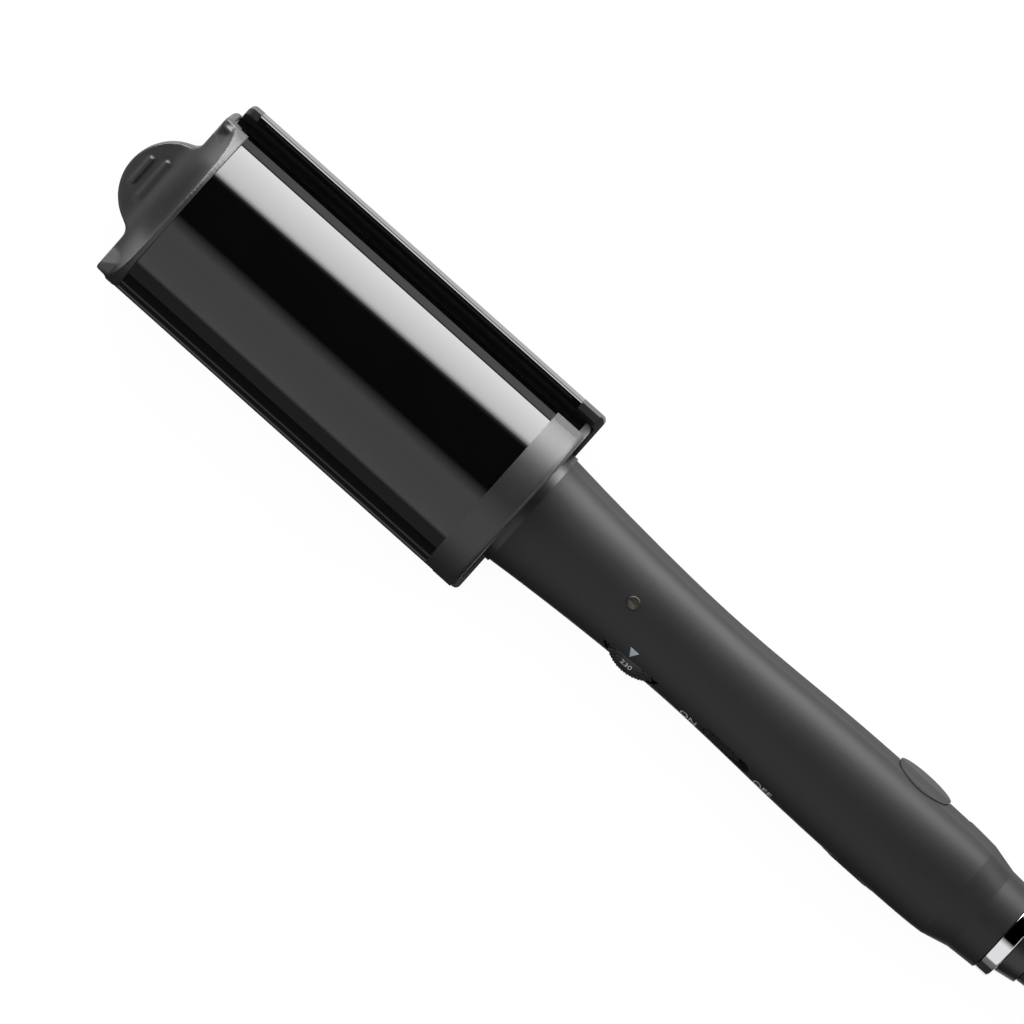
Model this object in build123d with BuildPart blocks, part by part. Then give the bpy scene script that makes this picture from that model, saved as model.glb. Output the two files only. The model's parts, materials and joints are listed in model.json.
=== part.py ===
from build123d import *
import math
import os

# Hair waver with two hinged arms. A barrel on the upper jaw closes into a trough on the lower jaw.
# Millimetres. +X runs from the jaws towards the cord, +Z is up, and the dial is on the -Y side.
# The origin is under the middle of the heated plates, on the flat bottom of the lower jaw.

# ---------------------------------------------------------------- driving sizes: heated jaws
trough_radius = 36.6
trough_floor_z = 4.0         # height of the trough's lowest line
plate_gap = 1.2              # between trough and barrel when closed
plate_wall = 1.6
plate_front_x = -57.0
plate_rear_x = 58.6
lower_half_width = 30.86
lower_bottom_half_width = 15.0
lower_bilge_z = 12.0         # height where the lower housing's side turns upright
lower_rim_z = 18.0
lower_rim_width = 2.6
lower_wall = 1.8
lower_tip_cap_length = 3.9
lower_rear_cap_length = 8.3
lower_end_wall = 1.0         # closes the trough behind the upper jaw
lower_cap_fillet = 1.6
upper_half_width = 26.5
upper_front_x = -55.1
upper_rear_x = 55.6
frame_wall = 3.2
frame_bottom_z = 17.2
border_width = 1.6
border_drop = 2.7            # how far the strip beside the dome falls over its width
dome_base_z = 38.6
dome_rise = 13.3
dome_wall = 1.6
dome_groove = 0.3
cap_lip = 0.8                # how far the upper end caps stand proud of the dome
cap_wall = 2.2
cap_outer_fillet = 1.8
frame_end_wall = 2.5
flank_thickness = 1.2        # the frame's sides run on beside the caps
flank_end_inset = 2.5        # how far they stop before the caps' outer ends
plate_lip_z = 22.0           # top of the barrel plate's upright lips
lower_rim_fillet = 1.0
upper_tip_cap_length = 8.2
upper_rear_cap_length = 10.0
tab_radius = 14.7
tab_overhang = 11.8
tab_thickness = 5.0
tab_centre_z = 26.0
tab_centre_y = -0.3
tab_root_fillet = 3.0
tab_root_depth = 2.0         # how far the tab reaches into its cap
scoop_lip = 1.5              # left of the tip cap's top in front of the dome
scoop_length = 11.4          # of the hollow slope from that lip down to the tab
ridge_lengths = (9.0, 13.2)
ridge_inset = 3.9            # first ridge from the tab's tip
ridge_pitch = 4.1
ridge_width = 1.3
ridge_height = 0.7

# wires
lower_wire_y = 7.0
lower_wire_radius = 0.5
lower_wire_jaw_z = 2.45
lower_wire_arm_z = 8.0
lower_wire_start_x = 40.0
lower_wire_end_x = 176.0
lower_wire_rise_x = (65.0, 76.0)
lower_wire_bend = 4.0
lower_slot_width = 1.6
lower_slot_height = 2.6
lower_slot_zs = (3.05, 3.65, 4.35)   # in the rear cap, the collar and the handle's front wall
upper_wire_ys = (8.4, 9.9)
upper_wire_radius = 0.6
upper_wire_z = 21.4
upper_wire_start_x = 20.0
upper_wire_end_x = 132.0
mains_wire_y = 5.0
mains_wire_z = 27.5
mains_wire_radius = 0.8
mains_wire_start_x = 168.0
mains_wire_end_x = 218.0

# heaters and what holds them
wire_window_width = 24.0
wire_window_height = 7.0
wire_window_z = 24.0
heater_length = 92.0
heater_width = 8.0
heater_thickness = 2.2
lower_heater_tilt = 27.3     # degrees round the wave axis
upper_heater_tilt = 19.0
mica_thickness = 0.4
clip_thickness = 0.5
clip_length = 9.0
clip_count = 4
clip_pitch = 24.0
clip_inset = 1.0
heater_corner = 1.0
mica_overhang = 3.0
contact_gap = 0.02

# ---------------------------------------------------------------- driving sizes: handle
handle_front_x = 68.0
collar_lip = 0.5
parting_z = 18.0             # underside of the upper arm
arm_gap = 2.0                # between the arms when closed
shell_wall = 2.0
flank_draft = 0.16           # narrowing per millimetre of flank height
lower_arm_inset = 1.0        # the lower arm is this much narrower on each side
cover_thickness = 2.0
cover_clearance = 0.1
hinge_half_width = 16.0

# x, half width, height over the parting plane, flank height
upper_stations = (
    (68.0, 17.9, 18.0, 5.5),
    (76.0, 17.2, 17.5, 5.5),
    (94.0, 15.9, 16.6, 5.5),
    (110.0, 15.05, 15.9, 5.5),
    (128.0, 14.6, 15.6, 5.5),
    (148.0, 15.0, 16.2, 5.5),
    (166.0, 15.65, 17.0, 5.5),
    (195.0, hinge_half_width, 17.8, 5.5),
    (211.0, 15.9, 17.3, 5.5),
    (221.4, 15.4, 16.4, 5.0),
)
shoulder_x = 229.3
neck_end_x = 238.0
neck_radius = 12.95
neck_flank = 1.0
shoulder_flare = 0.5
upper_shoulder_height = 13.55
lower_shoulder_height = 13.25
# x, half width, depth under the lower arm's top, flank height
lower_stations = (
    (68.0, 17.9, 15.5, 4.0),
    (76.0, 17.2, 15.4, 4.0),
    (94.0, 15.9, 14.8, 4.0),
    (110.0, 15.05, 14.2, 4.0),
    (128.0, 14.6, 13.7, 4.0),
    (148.0, 15.0, 14.2, 4.0),
    (166.0, 15.65, 14.9, 4.0),
    (195.0, hinge_half_width, 15.4, 4.0),
    (214.0, 15.9, 15.0, 4.0),
)
# x, half width, depth under the parting plane, flank height
tail_stations = (
    (203.0, 15.95, 16.2, 4.0),
    (212.0, 15.9, 15.6, 4.0),
    (221.4, 15.4, 14.3, 4.0),
)

# ---------------------------------------------------------------- driving sizes: hinge
hinge_x = 195.3
hinge_z = 18.0
pin_radius = 2.5
running_clearance = 0.05
bush_radius = 4.0
ear_radius = 8.5
ear_inner_y = 9.0
ear_outer_y = 11.9
disc_radius = 10.0
disc_inner_y = 12.2
disc_outer_y = 14.0
hinge_cap_radius = 8.9
hinge_cap_proud = 0.3
swing_clearance = 0.4
lower_end_radius = 17.4      # rear end of the lower arm, round the hinge axis
tail_clearance = 0.6
open_relief_angle = 10.0     # slope that lets the lower arm's rear end swing
spring_radius = 5.0
spring_wire = 1.3
spring_pitch = 1.75
spring_turns = 8.5
spring_leg = 12.0

cover_hinge_gap = 4.7        # from the inner covers to the hinge ears
cover_screw_insets = (10.9, 4.1)
tail_screw_x = 221.0
tail_screw_y = 9.0
tail_boss_radius = 3.6
tail_boss_drop = 8.0
front_wall = 2.0
screw_radius = 1.1
screw_head_radius = 2.2
screw_head_height = 1.3
screw_clearance = 0.2
boss_radius = 3.0
boss_reach = 8.0
upper_arm_screw_y = 7.0
upper_arm_screw_z = 29.8
lower_arm_screw_y = 11.0
lower_arm_screw_z = 10.5
fuse_radius = 1.8
fuse_length = 11.0
fuse_x = 14.0
sensor_length = 4.0
sensor_width = 3.0
sensor_thickness = 0.5
sensor_corner = 0.8
sensor_seat = 0.1            # paste under the sensor on the curved plate
sensor_x = -10.0

# ---------------------------------------------------------------- driving sizes: controls
dial_x = 114.3
dial_y = -3.0
dial_radius = 12.2
dial_face_radius = 8.0
dial_top_z = 29.5
dial_rim_top_z = 26.6
dial_bottom_z = 23.2
dial_clearance = 0.4
dial_knurls = 40
knurl_radius = 0.45
dial_shaft_radius = 2.0
pot_radius = 7.0
pot_thickness = 2.2
pot_seat = 0.3
switch_x = 149.5
switch_y = -12.2
switch_z = 28.9
switch_tilt = 52.0           # degrees from level, facing -Y
switch_slot_length = 16.6
switch_slot_width = 4.4
slider_length = 12.6
slider_height = 2.6
slider_clearance = 0.3
slider_travel = 3.2
slider_sink = 0.4            # below the shell's surface
slider_ribs = 5
slider_rib_width = 0.6
slider_rib_height = 0.3
slider_rib_inset = 0.45
slider_stem_width = 1.6
slider_stem_length = 3.0
slider_stem_depth = 2.4
switch_body_length = 18.0
switch_body_width = 6.0
switch_body_depth = 4.5
led_x = 104.6
led_y = 1.9
led_radius = 1.95
led_clearance = 0.05
led_lamp_size = 2.4
led_lamp_height = 0.9
led_board_z = 29.2
led_board_thickness = 0.8
led_board_front_x = 92.0
led_board_width = 7.0
board_front_x = 128.0
board_rear_x = 172.0
board_low_y = -3.0
board_high_y = 11.0
board_bottom_z = 22.6
board_thickness = 1.6
chip_spots = ((137.0, 5.0), (150.0, 5.0))
chip_size = (7.0, 6.0)
chip_height = 1.6
capacitor_spot = (163.0, 4.0)
capacitor_radius = 3.2
capacitor_height = 5.0

# ---------------------------------------------------------------- driving sizes: swivel and cord
ring_radius = 12.7
ring_length = 4.5
ring_fillet = 0.5
ring_seat_gap = 0.1
ring_seat_radius = 9.6
swivel_gap = 0.3
dome_start_radius = 9.9
dome_end_radius = 8.8
swivel_length = 6.1
spindle_radius = 3.0
spindle_front_x = 216.0
spindle_nose = 3.2           # how far the spindle reaches into the strain relief
retainer_front_x = 226.0
retainer_radius = 6.0
retainer_length = 2.5
socket_front_x = 229.5
socket_radius = 10.7
slip_ring_radius = 4.6
slip_ring_length = 2.4
slip_ring_x = (217.5, 222.2)
brush_clearance = 0.1
brush_size = (2.0, 3.0)
brush_height = 3.0
cord_radius = 3.25
bend_share = 0.45            # of the shorter run beside a bend, which its arc may take
relief_start_radius = 7.9
relief_end_radius = 4.4
relief_collar = 3.2
relief_bend_radius = 15.0
relief_bend_angle = 48.0
relief_straight = 28.0
coil_centre = (357.0, -4.0)
coil_mid_radius = 36.0
coil_columns = 3
coil_layers = 4
tie_thickness = 1.0
tie_width = 14.0
tie_angle = 60.0
plug_length = 34.0
plug_width = 34.0
plug_nose_width = 26.0
plug_thickness = 13.6
plug_pin_radius = 2.0
plug_pin_length = 19.0
plug_pin_spacing = 18.6
plug_pin_chamfer = 1.0
plug_corner = 2.0
plug_edge = 1.0
plug_relief_length = 16.0
plug_relief_wall = 0.6
plug_relief_step = 0.4
plug_entry = (293.0, 32.5)
plug_heading_angle = 177.0
plug_lead_run = 14.0
relief_lead_run = 10.0
relief_steps = 4

# ---------------------------------------------------------------- worked-out sizes
wave_centre_z = trough_floor_z + trough_radius   # height of the axis that trough and barrel share
barrel_radius = trough_radius - plate_gap
dome_half_chord = upper_half_width - border_width
dome_radius = (dome_half_chord ** 2 + dome_rise ** 2) / (2 * dome_rise)
dome_centre_z = dome_base_z + dome_rise - dome_radius
tip_x = upper_front_x - upper_tip_cap_length
band_end_x = upper_rear_x + upper_rear_cap_length
lower_cap_end_x = plate_rear_x + lower_rear_cap_length
lower_top_z = parting_z - arm_gap
upper_cover_top_z = parting_z + cover_thickness
lower_cover_bottom_z = lower_top_z - cover_thickness
coil_height = coil_layers * 2 * cord_radius
coil_inner_radius = coil_mid_radius - coil_columns * cord_radius
coil_outer_radius = coil_mid_radius + coil_columns * cord_radius
flank_top_z = dome_base_z - border_drop
cover_front_x = handle_front_x + front_wall + cover_clearance
cover_rear_x = hinge_x - ear_radius - cover_hinge_gap
cover_screw_x = (cover_front_x + cover_screw_insets[0], cover_rear_x - cover_screw_insets[1])
arm_width = 2 * max(station[1] for station in upper_stations)
tall = dome_centre_z + dome_radius + dome_rise   # past the tool's width and height
long = coil_centre[0] + coil_outer_radius        # past the tool's length

os.makedirs("parts", exist_ok=True)


# ---------------------------------------------------------------- shared shapes
def cross_plane(x, z=0.0, upwards=True):
    """A plane across the tool at x. Its local y points up, or down for the lower arm."""
    side = 1 if upwards else -1
    return Plane(origin=(x, 0, z), x_dir=(0, side, 0), z_dir=(1, 0, 0))


def arm_section(plane, half_width, height, flank, inset):
    """D-shaped section: drafted flanks and an elliptical crown. An inset one is open past its flat side."""
    edge = half_width - inset
    shoulder = edge - flank_draft * flank
    base = -1.0 if inset > 0 else 0.0
    with BuildSketch(plane) as section:
        with BuildLine():
            Line((-edge, base), (edge, base))
            Line((edge, base), (shoulder, flank))
            EllipticalCenterArc((0, flank), shoulder, height - inset - flank, start_angle=0, arc_size=180)
            Line((-shoulder, flank), (-edge, base))
        make_face()
    return section.sketch


def arm_body(stations, base_z, upwards, narrow=0.0, inset=0.0):
    """Solid through the stations. Inset gives the hollow inside it."""
    with BuildPart() as body:
        for x, half_width, height, flank in stations:
            add(arm_section(cross_plane(x, base_z, upwards), half_width - narrow, height, flank, inset))
        loft()
    return body.part


def tail_body(start, shoulder_height, base_z, upwards, inset=0.0):
    """Shoulder and neck behind the last station."""
    shoulder_half_width = neck_radius + shoulder_flare
    stations = (
        start,
        (shoulder_x, shoulder_half_width, shoulder_height, neck_flank),
        (neck_end_x, neck_radius, neck_radius, neck_flank),
    )
    with BuildPart() as body:
        for ends in zip(stations, stations[1:]):
            for x, half_width, height, flank in ends:
                add(arm_section(cross_plane(x, base_z, upwards), half_width, height, flank, inset))
            loft()
    return body.part


def upper_profile(plane, inset=0.0):
    """Closed outline of the upper jaw: barrel below, upright sides, sloped border, dome."""
    side = upper_half_width - inset
    chord = dome_half_chord - inset
    barrel = barrel_radius - inset
    dome = dome_radius - inset
    side_bottom = wave_centre_z - math.sqrt(barrel ** 2 - side ** 2)
    chord_z = dome_centre_z + math.sqrt(dome ** 2 - chord ** 2)
    side_top = chord_z - border_drop
    with BuildSketch(plane) as outline:
        with BuildLine():
            ThreePointArc((-side, side_bottom), (0, wave_centre_z - barrel), (side, side_bottom))
            Line((side, side_bottom), (side, side_top))
            Line((side, side_top), (chord, chord_z))
            ThreePointArc((chord, chord_z), (0, dome_centre_z + dome), (-chord, chord_z))
            Line((-chord, chord_z), (-side, side_top))
            Line((-side, side_top), (-side, side_bottom))
        make_face()
    return outline.sketch


def lower_profile(plane, side_inset=0.0, floor_inset=0.0, top_z=lower_rim_z):
    """Boat-shaped outline of the lower jaw, flat on top."""
    side = lower_half_width - side_inset
    bilge = lower_bilge_z - floor_inset
    flat = lower_bottom_half_width
    with BuildSketch(plane) as outline:
        with BuildLine():
            Line((-flat, floor_inset), (flat, floor_inset))
            EllipticalCenterArc((flat, lower_bilge_z), side - flat, bilge, start_angle=270, arc_size=90)
            Line((side, lower_bilge_z), (side, top_z))
            Line((side, top_z), (-side, top_z))
            Line((-side, top_z), (-side, lower_bilge_z))
            EllipticalCenterArc((-flat, lower_bilge_z), side - flat, bilge, start_angle=180, arc_size=90)
        make_face()
    return outline.sketch


def pair_spots(y, z):
    """The two places at +y and -y."""
    return [(-y, z), (y, z)]


def write(part, name):
    part.label = name
    export_step(part, f"parts/{name}.step")


upper_outer = arm_body(upper_stations, parting_z, True)
upper_hollow = arm_body(upper_stations, parting_z, True, inset=shell_wall)
upper_tail = tail_body(upper_stations[-1], upper_shoulder_height, parting_z, True)
upper_tail_hollow = tail_body(upper_stations[-1], upper_shoulder_height, parting_z, True, inset=shell_wall)
lower_outer = arm_body(lower_stations, lower_top_z, False, narrow=lower_arm_inset)
lower_hollow = arm_body(lower_stations, lower_top_z, False, narrow=lower_arm_inset, inset=shell_wall)


# ---------------------------------------------------------------- lower jaw
with BuildPart() as lower_wave_plate:
    with BuildSketch(cross_plane(plate_front_x)):
        with Locations((0, wave_centre_z)):
            Circle(trough_radius + plate_wall)
            Circle(trough_radius, mode=Mode.SUBTRACT)
        with Locations((0, lower_rim_z / 2)):
            Rectangle(2 * (lower_half_width - lower_rim_width), lower_rim_z, mode=Mode.INTERSECT)
    extrude(amount=plate_rear_x - plate_front_x)
write(lower_wave_plate.part, "lower_wave_plate")

with BuildPart() as lower_jaw_housing:
    extrude(lower_profile(cross_plane(plate_front_x)), amount=plate_rear_x - plate_front_x, dir=(1, 0, 0))
    fillet(lower_jaw_housing.edges().filter_by(Axis.X).group_by(Axis.Z)[-1], lower_rim_fillet)
    extrude(
        lower_profile(cross_plane(plate_front_x), lower_rim_width, lower_wall, lower_rim_z + lower_wall),
        amount=plate_rear_x - plate_front_x,
        dir=(1, 0, 0),
        mode=Mode.SUBTRACT,
    )
write(lower_jaw_housing.part, "lower_jaw_housing")


def lower_cap(start_x, length, outer_end):
    """End cap of the lower jaw: its top follows the trough, and its outer end is rounded."""
    with BuildPart() as cap:
        extrude(lower_profile(cross_plane(start_x)), amount=length, dir=(1, 0, 0))
        end = cap.faces().sort_by(Axis.X)[-1 if outer_end > 0 else 0]
        fillet(end.edges(), lower_cap_fillet)
        with BuildSketch(cross_plane(start_x)):
            with Locations((0, wave_centre_z)):
                Circle(trough_radius)
        extrude(amount=length if outer_end < 0 else length - lower_end_wall, mode=Mode.SUBTRACT)
    return cap.part


with BuildPart() as lower_tip_cap:
    add(lower_cap(plate_front_x - lower_tip_cap_length, lower_tip_cap_length, -1))
write(lower_tip_cap.part, "lower_tip_cap")

with BuildPart() as lower_rear_cap:
    add(lower_cap(plate_rear_x, lower_rear_cap_length, 1))
    with BuildSketch(Plane.XY.offset(lower_top_z)):
        with Locations((lower_cap_end_x, 0)):
            Rectangle(4 * lower_end_wall, 2 * lower_half_width)
    extrude(amount=lower_rim_z, mode=Mode.SUBTRACT)
    with BuildSketch(Plane.YZ.offset(plate_rear_x)):
        with Locations(*pair_spots(lower_wire_y, lower_slot_zs[0])):
            Rectangle(lower_slot_width, lower_slot_height)
        with Locations(*pair_spots(lower_arm_screw_y, lower_arm_screw_z)):
            Circle(screw_radius)
    extrude(amount=lower_rear_cap_length, mode=Mode.SUBTRACT)
write(lower_rear_cap.part, "lower_rear_cap")


def tilted_plane(radius, tilt, side, inwards):
    """Plane that touches the wave at a radius and tilt, facing away from it."""
    angle = math.radians(tilt) * side
    across, down = math.sin(angle), -math.cos(angle)
    sense = -1 if inwards else 1
    origin = (0, radius * across, wave_centre_z + radius * down)
    return Plane(origin=origin, x_dir=(1, 0, 0), z_dir=(0, sense * across, sense * down))


def heater_stack(radius, tilt, inwards):
    """Heaters, mica sheets and spring clips of one jaw, as lists of solids from the plate outwards."""
    heaters, micas, clips = [], [], []
    for side in (-1, 1):
        base = tilted_plane(radius, tilt, side, inwards)
        heater_level = contact_gap
        mica_level = heater_level + heater_thickness + contact_gap
        clip_level = mica_level + mica_thickness + contact_gap
        heater_face = RectangleRounded(heater_length, heater_width, heater_corner)
        heaters.append(extrude(base.offset(heater_level) * heater_face, heater_thickness))
        mica_face = Rectangle(heater_length + mica_overhang, heater_width)
        micas.append(extrude(base.offset(mica_level) * mica_face, mica_thickness))
        clip_places = GridLocations(clip_pitch, 0, clip_count, 1)
        clip_faces = base.offset(clip_level) * clip_places * Rectangle(clip_length, heater_width - clip_inset)
        clips.extend(extrude(face, clip_thickness) for face in Sketch(clip_faces).faces())
    return heaters, micas, clips


def write_heaters(jaw, stack):
    """One node for each kind of piece in a jaw's stack."""
    for solids, kind in zip(stack, ("heaters", "mica_sheets", "heater_clips")):
        with BuildPart() as group:
            add(solids)
        write(group.part, f"{jaw}_{kind}")


upper_seat_radius = math.sqrt((barrel_radius - plate_wall) ** 2 - (heater_width / 2) ** 2)
write_heaters("lower", heater_stack(trough_radius + plate_wall, lower_heater_tilt, False))
write_heaters("upper", heater_stack(upper_seat_radius, upper_heater_tilt, True))

# ---------------------------------------------------------------- upper jaw
upper_plate_half = upper_half_width - frame_wall - cover_clearance
with BuildPart() as upper_wave_plate:
    with BuildSketch(cross_plane(upper_front_x)):
        with Locations((0, wave_centre_z)):
            Circle(barrel_radius)
        with Locations((0, plate_lip_z / 2)):
            Rectangle(2 * upper_plate_half, plate_lip_z, mode=Mode.INTERSECT)
    extrude(amount=upper_rear_x - upper_front_x)
    with BuildSketch(cross_plane(upper_front_x)):
        with Locations((0, wave_centre_z)):
            Circle(barrel_radius - plate_wall)
        with Locations((0, wave_centre_z / 2)):
            Rectangle(2 * (upper_plate_half - plate_wall), wave_centre_z, mode=Mode.INTERSECT)
    extrude(amount=upper_rear_x - upper_front_x, mode=Mode.SUBTRACT)
write(upper_wave_plate.part, "upper_wave_plate")

tip_flank_x = tip_x + flank_end_inset
band_flank_x = band_end_x - flank_end_inset


def flanks(bottom_z, top_z, outer_y):
    """Blocks on both sides of the upper jaw, from beside one cap to beside the other."""
    inner_y = upper_half_width - flank_thickness
    with BuildPart() as pair:
        with BuildSketch(Plane.XY.offset(bottom_z)):
            with Locations(((tip_flank_x + band_flank_x) / 2, 0)):
                Rectangle(band_flank_x - tip_flank_x, 2 * outer_y)
                Rectangle(band_flank_x - tip_flank_x, 2 * inner_y, mode=Mode.SUBTRACT)
        extrude(amount=top_z - bottom_z)
    return pair.part


frame_flanks = flanks(frame_bottom_z, flank_top_z, upper_half_width)
flank_room = flanks(0, flank_top_z, lower_half_width)
frame_length = upper_rear_x - upper_front_x
frame_middle = (upper_rear_x + upper_front_x) / 2
with BuildPart() as upper_jaw_frame:
    with BuildSketch(Plane.XY.offset(frame_bottom_z)):
        with Locations((frame_middle, 0)):
            Rectangle(frame_length, 2 * upper_half_width)
            Rectangle(
                frame_length - 2 * frame_end_wall, 2 * (upper_half_width - frame_wall), mode=Mode.SUBTRACT
            )
    extrude(amount=dome_base_z - frame_bottom_z)
    extrude(
        upper_profile(cross_plane(upper_front_x)), amount=frame_length, dir=(1, 0, 0), mode=Mode.INTERSECT
    )
    add(frame_flanks)
    with BuildSketch(cross_plane(upper_front_x)):
        with Locations((0, wave_centre_z)):
            Circle(barrel_radius)
        with Locations((0, plate_lip_z / 2)):
            Rectangle(2 * (upper_plate_half + cover_clearance), plate_lip_z, mode=Mode.INTERSECT)
    extrude(amount=frame_length, mode=Mode.SUBTRACT)
    with BuildSketch(Plane.YZ.offset(upper_rear_x)):
        with Locations((0, wire_window_z)):
            Rectangle(wire_window_width, wire_window_height)
    extrude(amount=-frame_end_wall, mode=Mode.SUBTRACT)
write(upper_jaw_frame.part, "upper_jaw_frame")

with BuildPart() as dome_cover:
    with BuildSketch(cross_plane(upper_front_x)):
        with Locations((0, dome_centre_z)):
            Circle(dome_radius - dome_groove)
            Circle(dome_radius - dome_wall, mode=Mode.SUBTRACT)
        with Locations((0, dome_base_z + dome_radius / 2)):
            Rectangle(2 * dome_radius, dome_radius, mode=Mode.INTERSECT)
    extrude(amount=frame_length)
write(dome_cover.part, "dome_cover")


def upper_cap(start_x, length, outer_end, kept):
    """End cap of the upper jaw, a little proud of the dome. It isn't hollow where the kept shape is."""
    hollow_start = start_x if outer_end > 0 else start_x + cap_wall
    hollow = extrude(upper_profile(cross_plane(hollow_start), cap_wall), length - cap_wall, dir=(1, 0, 0))
    with BuildPart() as cap:
        extrude(upper_profile(cross_plane(start_x), -cap_lip), amount=length, dir=(1, 0, 0))
        with BuildSketch(cross_plane(start_x)):
            with Locations((0, wave_centre_z)):
                Circle(barrel_radius)
            with Locations((0, wave_centre_z)):
                Rectangle(2 * upper_half_width, 2 * wave_centre_z)
        extrude(amount=length, mode=Mode.INTERSECT)
        ends = cap.faces().filter_by(Axis.X).sort_by(Axis.X)
        fillet(ends[-1 if outer_end > 0 else 0].edges(), cap_outer_fillet)
        add(hollow - kept, mode=Mode.SUBTRACT)
        add(flank_room, mode=Mode.SUBTRACT)
    return cap.part


tab_top_z = tab_centre_z + tab_thickness / 2
scoop_top_z = dome_centre_z + dome_radius + 2 * cap_lip


def scoop(shift):
    """The room over the hollow slope that falls from the dome to the tab."""
    foot_x = upper_front_x - scoop_lip - scoop_length + shift
    with BuildPart() as room:
        with BuildSketch(Plane.XZ):
            with BuildLine():
                slope = EllipticalCenterArc(
                    (foot_x, scoop_top_z), scoop_length, scoop_top_z - tab_top_z, start_angle=270, arc_size=90
                )
                Polyline(slope @ 1, (foot_x - tall, scoop_top_z), (foot_x - tall, tab_top_z), slope @ 0)
            make_face()
        extrude(amount=tall, both=True)
    return room.part


tab_root_x = tip_x + tab_root_depth
tab_centre_x = tip_x - tab_overhang + tab_radius
scoop_room = scoop(0)
tip_cap_body = upper_cap(tip_x, upper_tip_cap_length, -1, scoop(cap_wall))
with BuildPart() as upper_tip_cap:
    add(tip_cap_body)
    with BuildSketch(Plane.XY.offset(tab_top_z - tab_thickness)):
        with Locations((tab_centre_x, tab_centre_y)):
            Circle(tab_radius)
        with Locations((tab_root_x, tab_centre_y)):
            Rectangle(
                2 * tab_radius, 2 * tab_radius, align=(Align.MAX, Align.CENTER), mode=Mode.INTERSECT
            )
    extrude(amount=flank_top_z - tab_top_z + tab_thickness)
    tab_edges = upper_tip_cap.edges().filter_by(Axis.Z).filter_by_position(Axis.X, tip_x - 0.1, tip_x + 0.1)
    fillet(tab_edges, tab_root_fillet)
    add(scoop_room, mode=Mode.SUBTRACT)
    ridge_x = tip_x - tab_overhang + ridge_inset
    for number, ridge_length in enumerate(ridge_lengths):
        with BuildSketch(Plane.XY.offset(tab_top_z)):
            with Locations((ridge_x + number * ridge_pitch, tab_centre_y)):
                SlotOverall(ridge_length, ridge_width, rotation=90)
        extrude(amount=ridge_height)
write(upper_tip_cap.part, "upper_tip_cap")

band_end_wall = Pos(band_end_x, 0, 0) * Box(2 * cap_wall, 2 * tall, 2 * tall)
rear_cap_body = upper_cap(upper_rear_x, upper_rear_cap_length, 1, band_end_wall)
with BuildPart() as upper_rear_cap:
    add(rear_cap_body)
    with BuildSketch(Plane.YZ.offset(band_end_x - cap_wall)):
        with Locations((0, wire_window_z)):
            Rectangle(wire_window_width, wire_window_height)
        with Locations(*pair_spots(upper_arm_screw_y, upper_arm_screw_z)):
            Circle(screw_radius)
    extrude(amount=cap_wall, mode=Mode.SUBTRACT)
write(upper_rear_cap.part, "upper_rear_cap")

front_width, front_height, front_flank = upper_stations[0][1:]
collar_face = arm_section(
    cross_plane(band_end_x, parting_z), front_width + collar_lip, front_height + collar_lip, front_flank, 0.0
)
with BuildPart() as jaw_collar:
    extrude(collar_face, amount=handle_front_x - band_end_x, dir=(1, 0, 0))
    with BuildSketch(Plane.YZ.offset(band_end_x)):
        with Locations((0, wire_window_z)):
            Rectangle(wire_window_width, wire_window_height)
        with Locations(*pair_spots(upper_arm_screw_y, upper_arm_screw_z)):
            Circle(screw_radius + screw_clearance)
    extrude(amount=handle_front_x - band_end_x, mode=Mode.SUBTRACT)
write(jaw_collar.part, "jaw_collar")

# ---------------------------------------------------------------- shapes round the hinge axis
hinge_plane = Plane(origin=(hinge_x, 0, hinge_z), x_dir=(1, 0, 0), z_dir=(0, 1, 0))


def hinge_disc(radius, start_y, end_y):
    """Discs on both sides of the tool, round the hinge axis."""
    with BuildPart() as discs:
        with BuildSketch(hinge_plane.offset(start_y), hinge_plane.offset(-end_y)):
            Circle(radius)
        extrude(amount=end_y - start_y, dir=(0, 1, 0))
    return discs.part


def hinge_barrel(radius):
    """A cylinder through the whole width, round the hinge axis."""
    with BuildPart() as barrel:
        with BuildSketch(hinge_plane):
            Circle(radius)
        extrude(amount=tall, both=True)
    return barrel.part


pin_hole = hinge_disc(pin_radius + contact_gap, 0, 2 * disc_outer_y)
pivot_discs = hinge_disc(disc_radius, disc_inner_y, disc_outer_y)
cap_pockets = hinge_disc(hinge_cap_radius + cover_clearance, disc_outer_y, 2 * disc_outer_y)
swing_pockets = hinge_disc(disc_radius + swing_clearance, ear_outer_y + swing_clearance / 2, tall)
bush_holes = hinge_disc(bush_radius, ear_inner_y - 1, ear_outer_y + 1)
bush_outside = hinge_disc(bush_radius, ear_inner_y, ear_outer_y)
bush_inside = hinge_disc(pin_radius + running_clearance, ear_inner_y, ear_outer_y)

# ---------------------------------------------------------------- upper arm
switch_plane = Plane(
    origin=(switch_x, switch_y, switch_z),
    x_dir=(1, 0, 0),
    z_dir=(0, -math.sin(math.radians(switch_tilt)), math.cos(math.radians(switch_tilt))),
)


def in_hull(hull, sketch, amount):
    """What an extruded sketch shares with a hull."""
    return extrude(sketch, amount) & hull


screw_spots = [(x, 0) for x in cover_screw_x]
tail_spots = [(tail_screw_x, -tail_screw_y), (tail_screw_x, tail_screw_y)]

upper_hull = upper_outer + upper_tail
behind_wall = Pos(handle_front_x + front_wall, 0, 0) * Box(
    long, 2 * tall, 2 * tall, align=(Align.MIN, Align.CENTER, Align.CENTER)
)
upper_room = (upper_hollow + upper_tail_hollow) & behind_wall
upper_posts = [
    in_hull(upper_hull, Plane.XY.offset(upper_cover_top_z) * Pos(*spot) * Circle(boss_radius), tall)
    for spot in screw_spots
]
upper_tail_posts = [
    in_hull(upper_hull, Plane.XY.offset(parting_z) * Pos(*spot) * Circle(tail_boss_radius), tall)
    for spot in tail_spots
]

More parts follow.
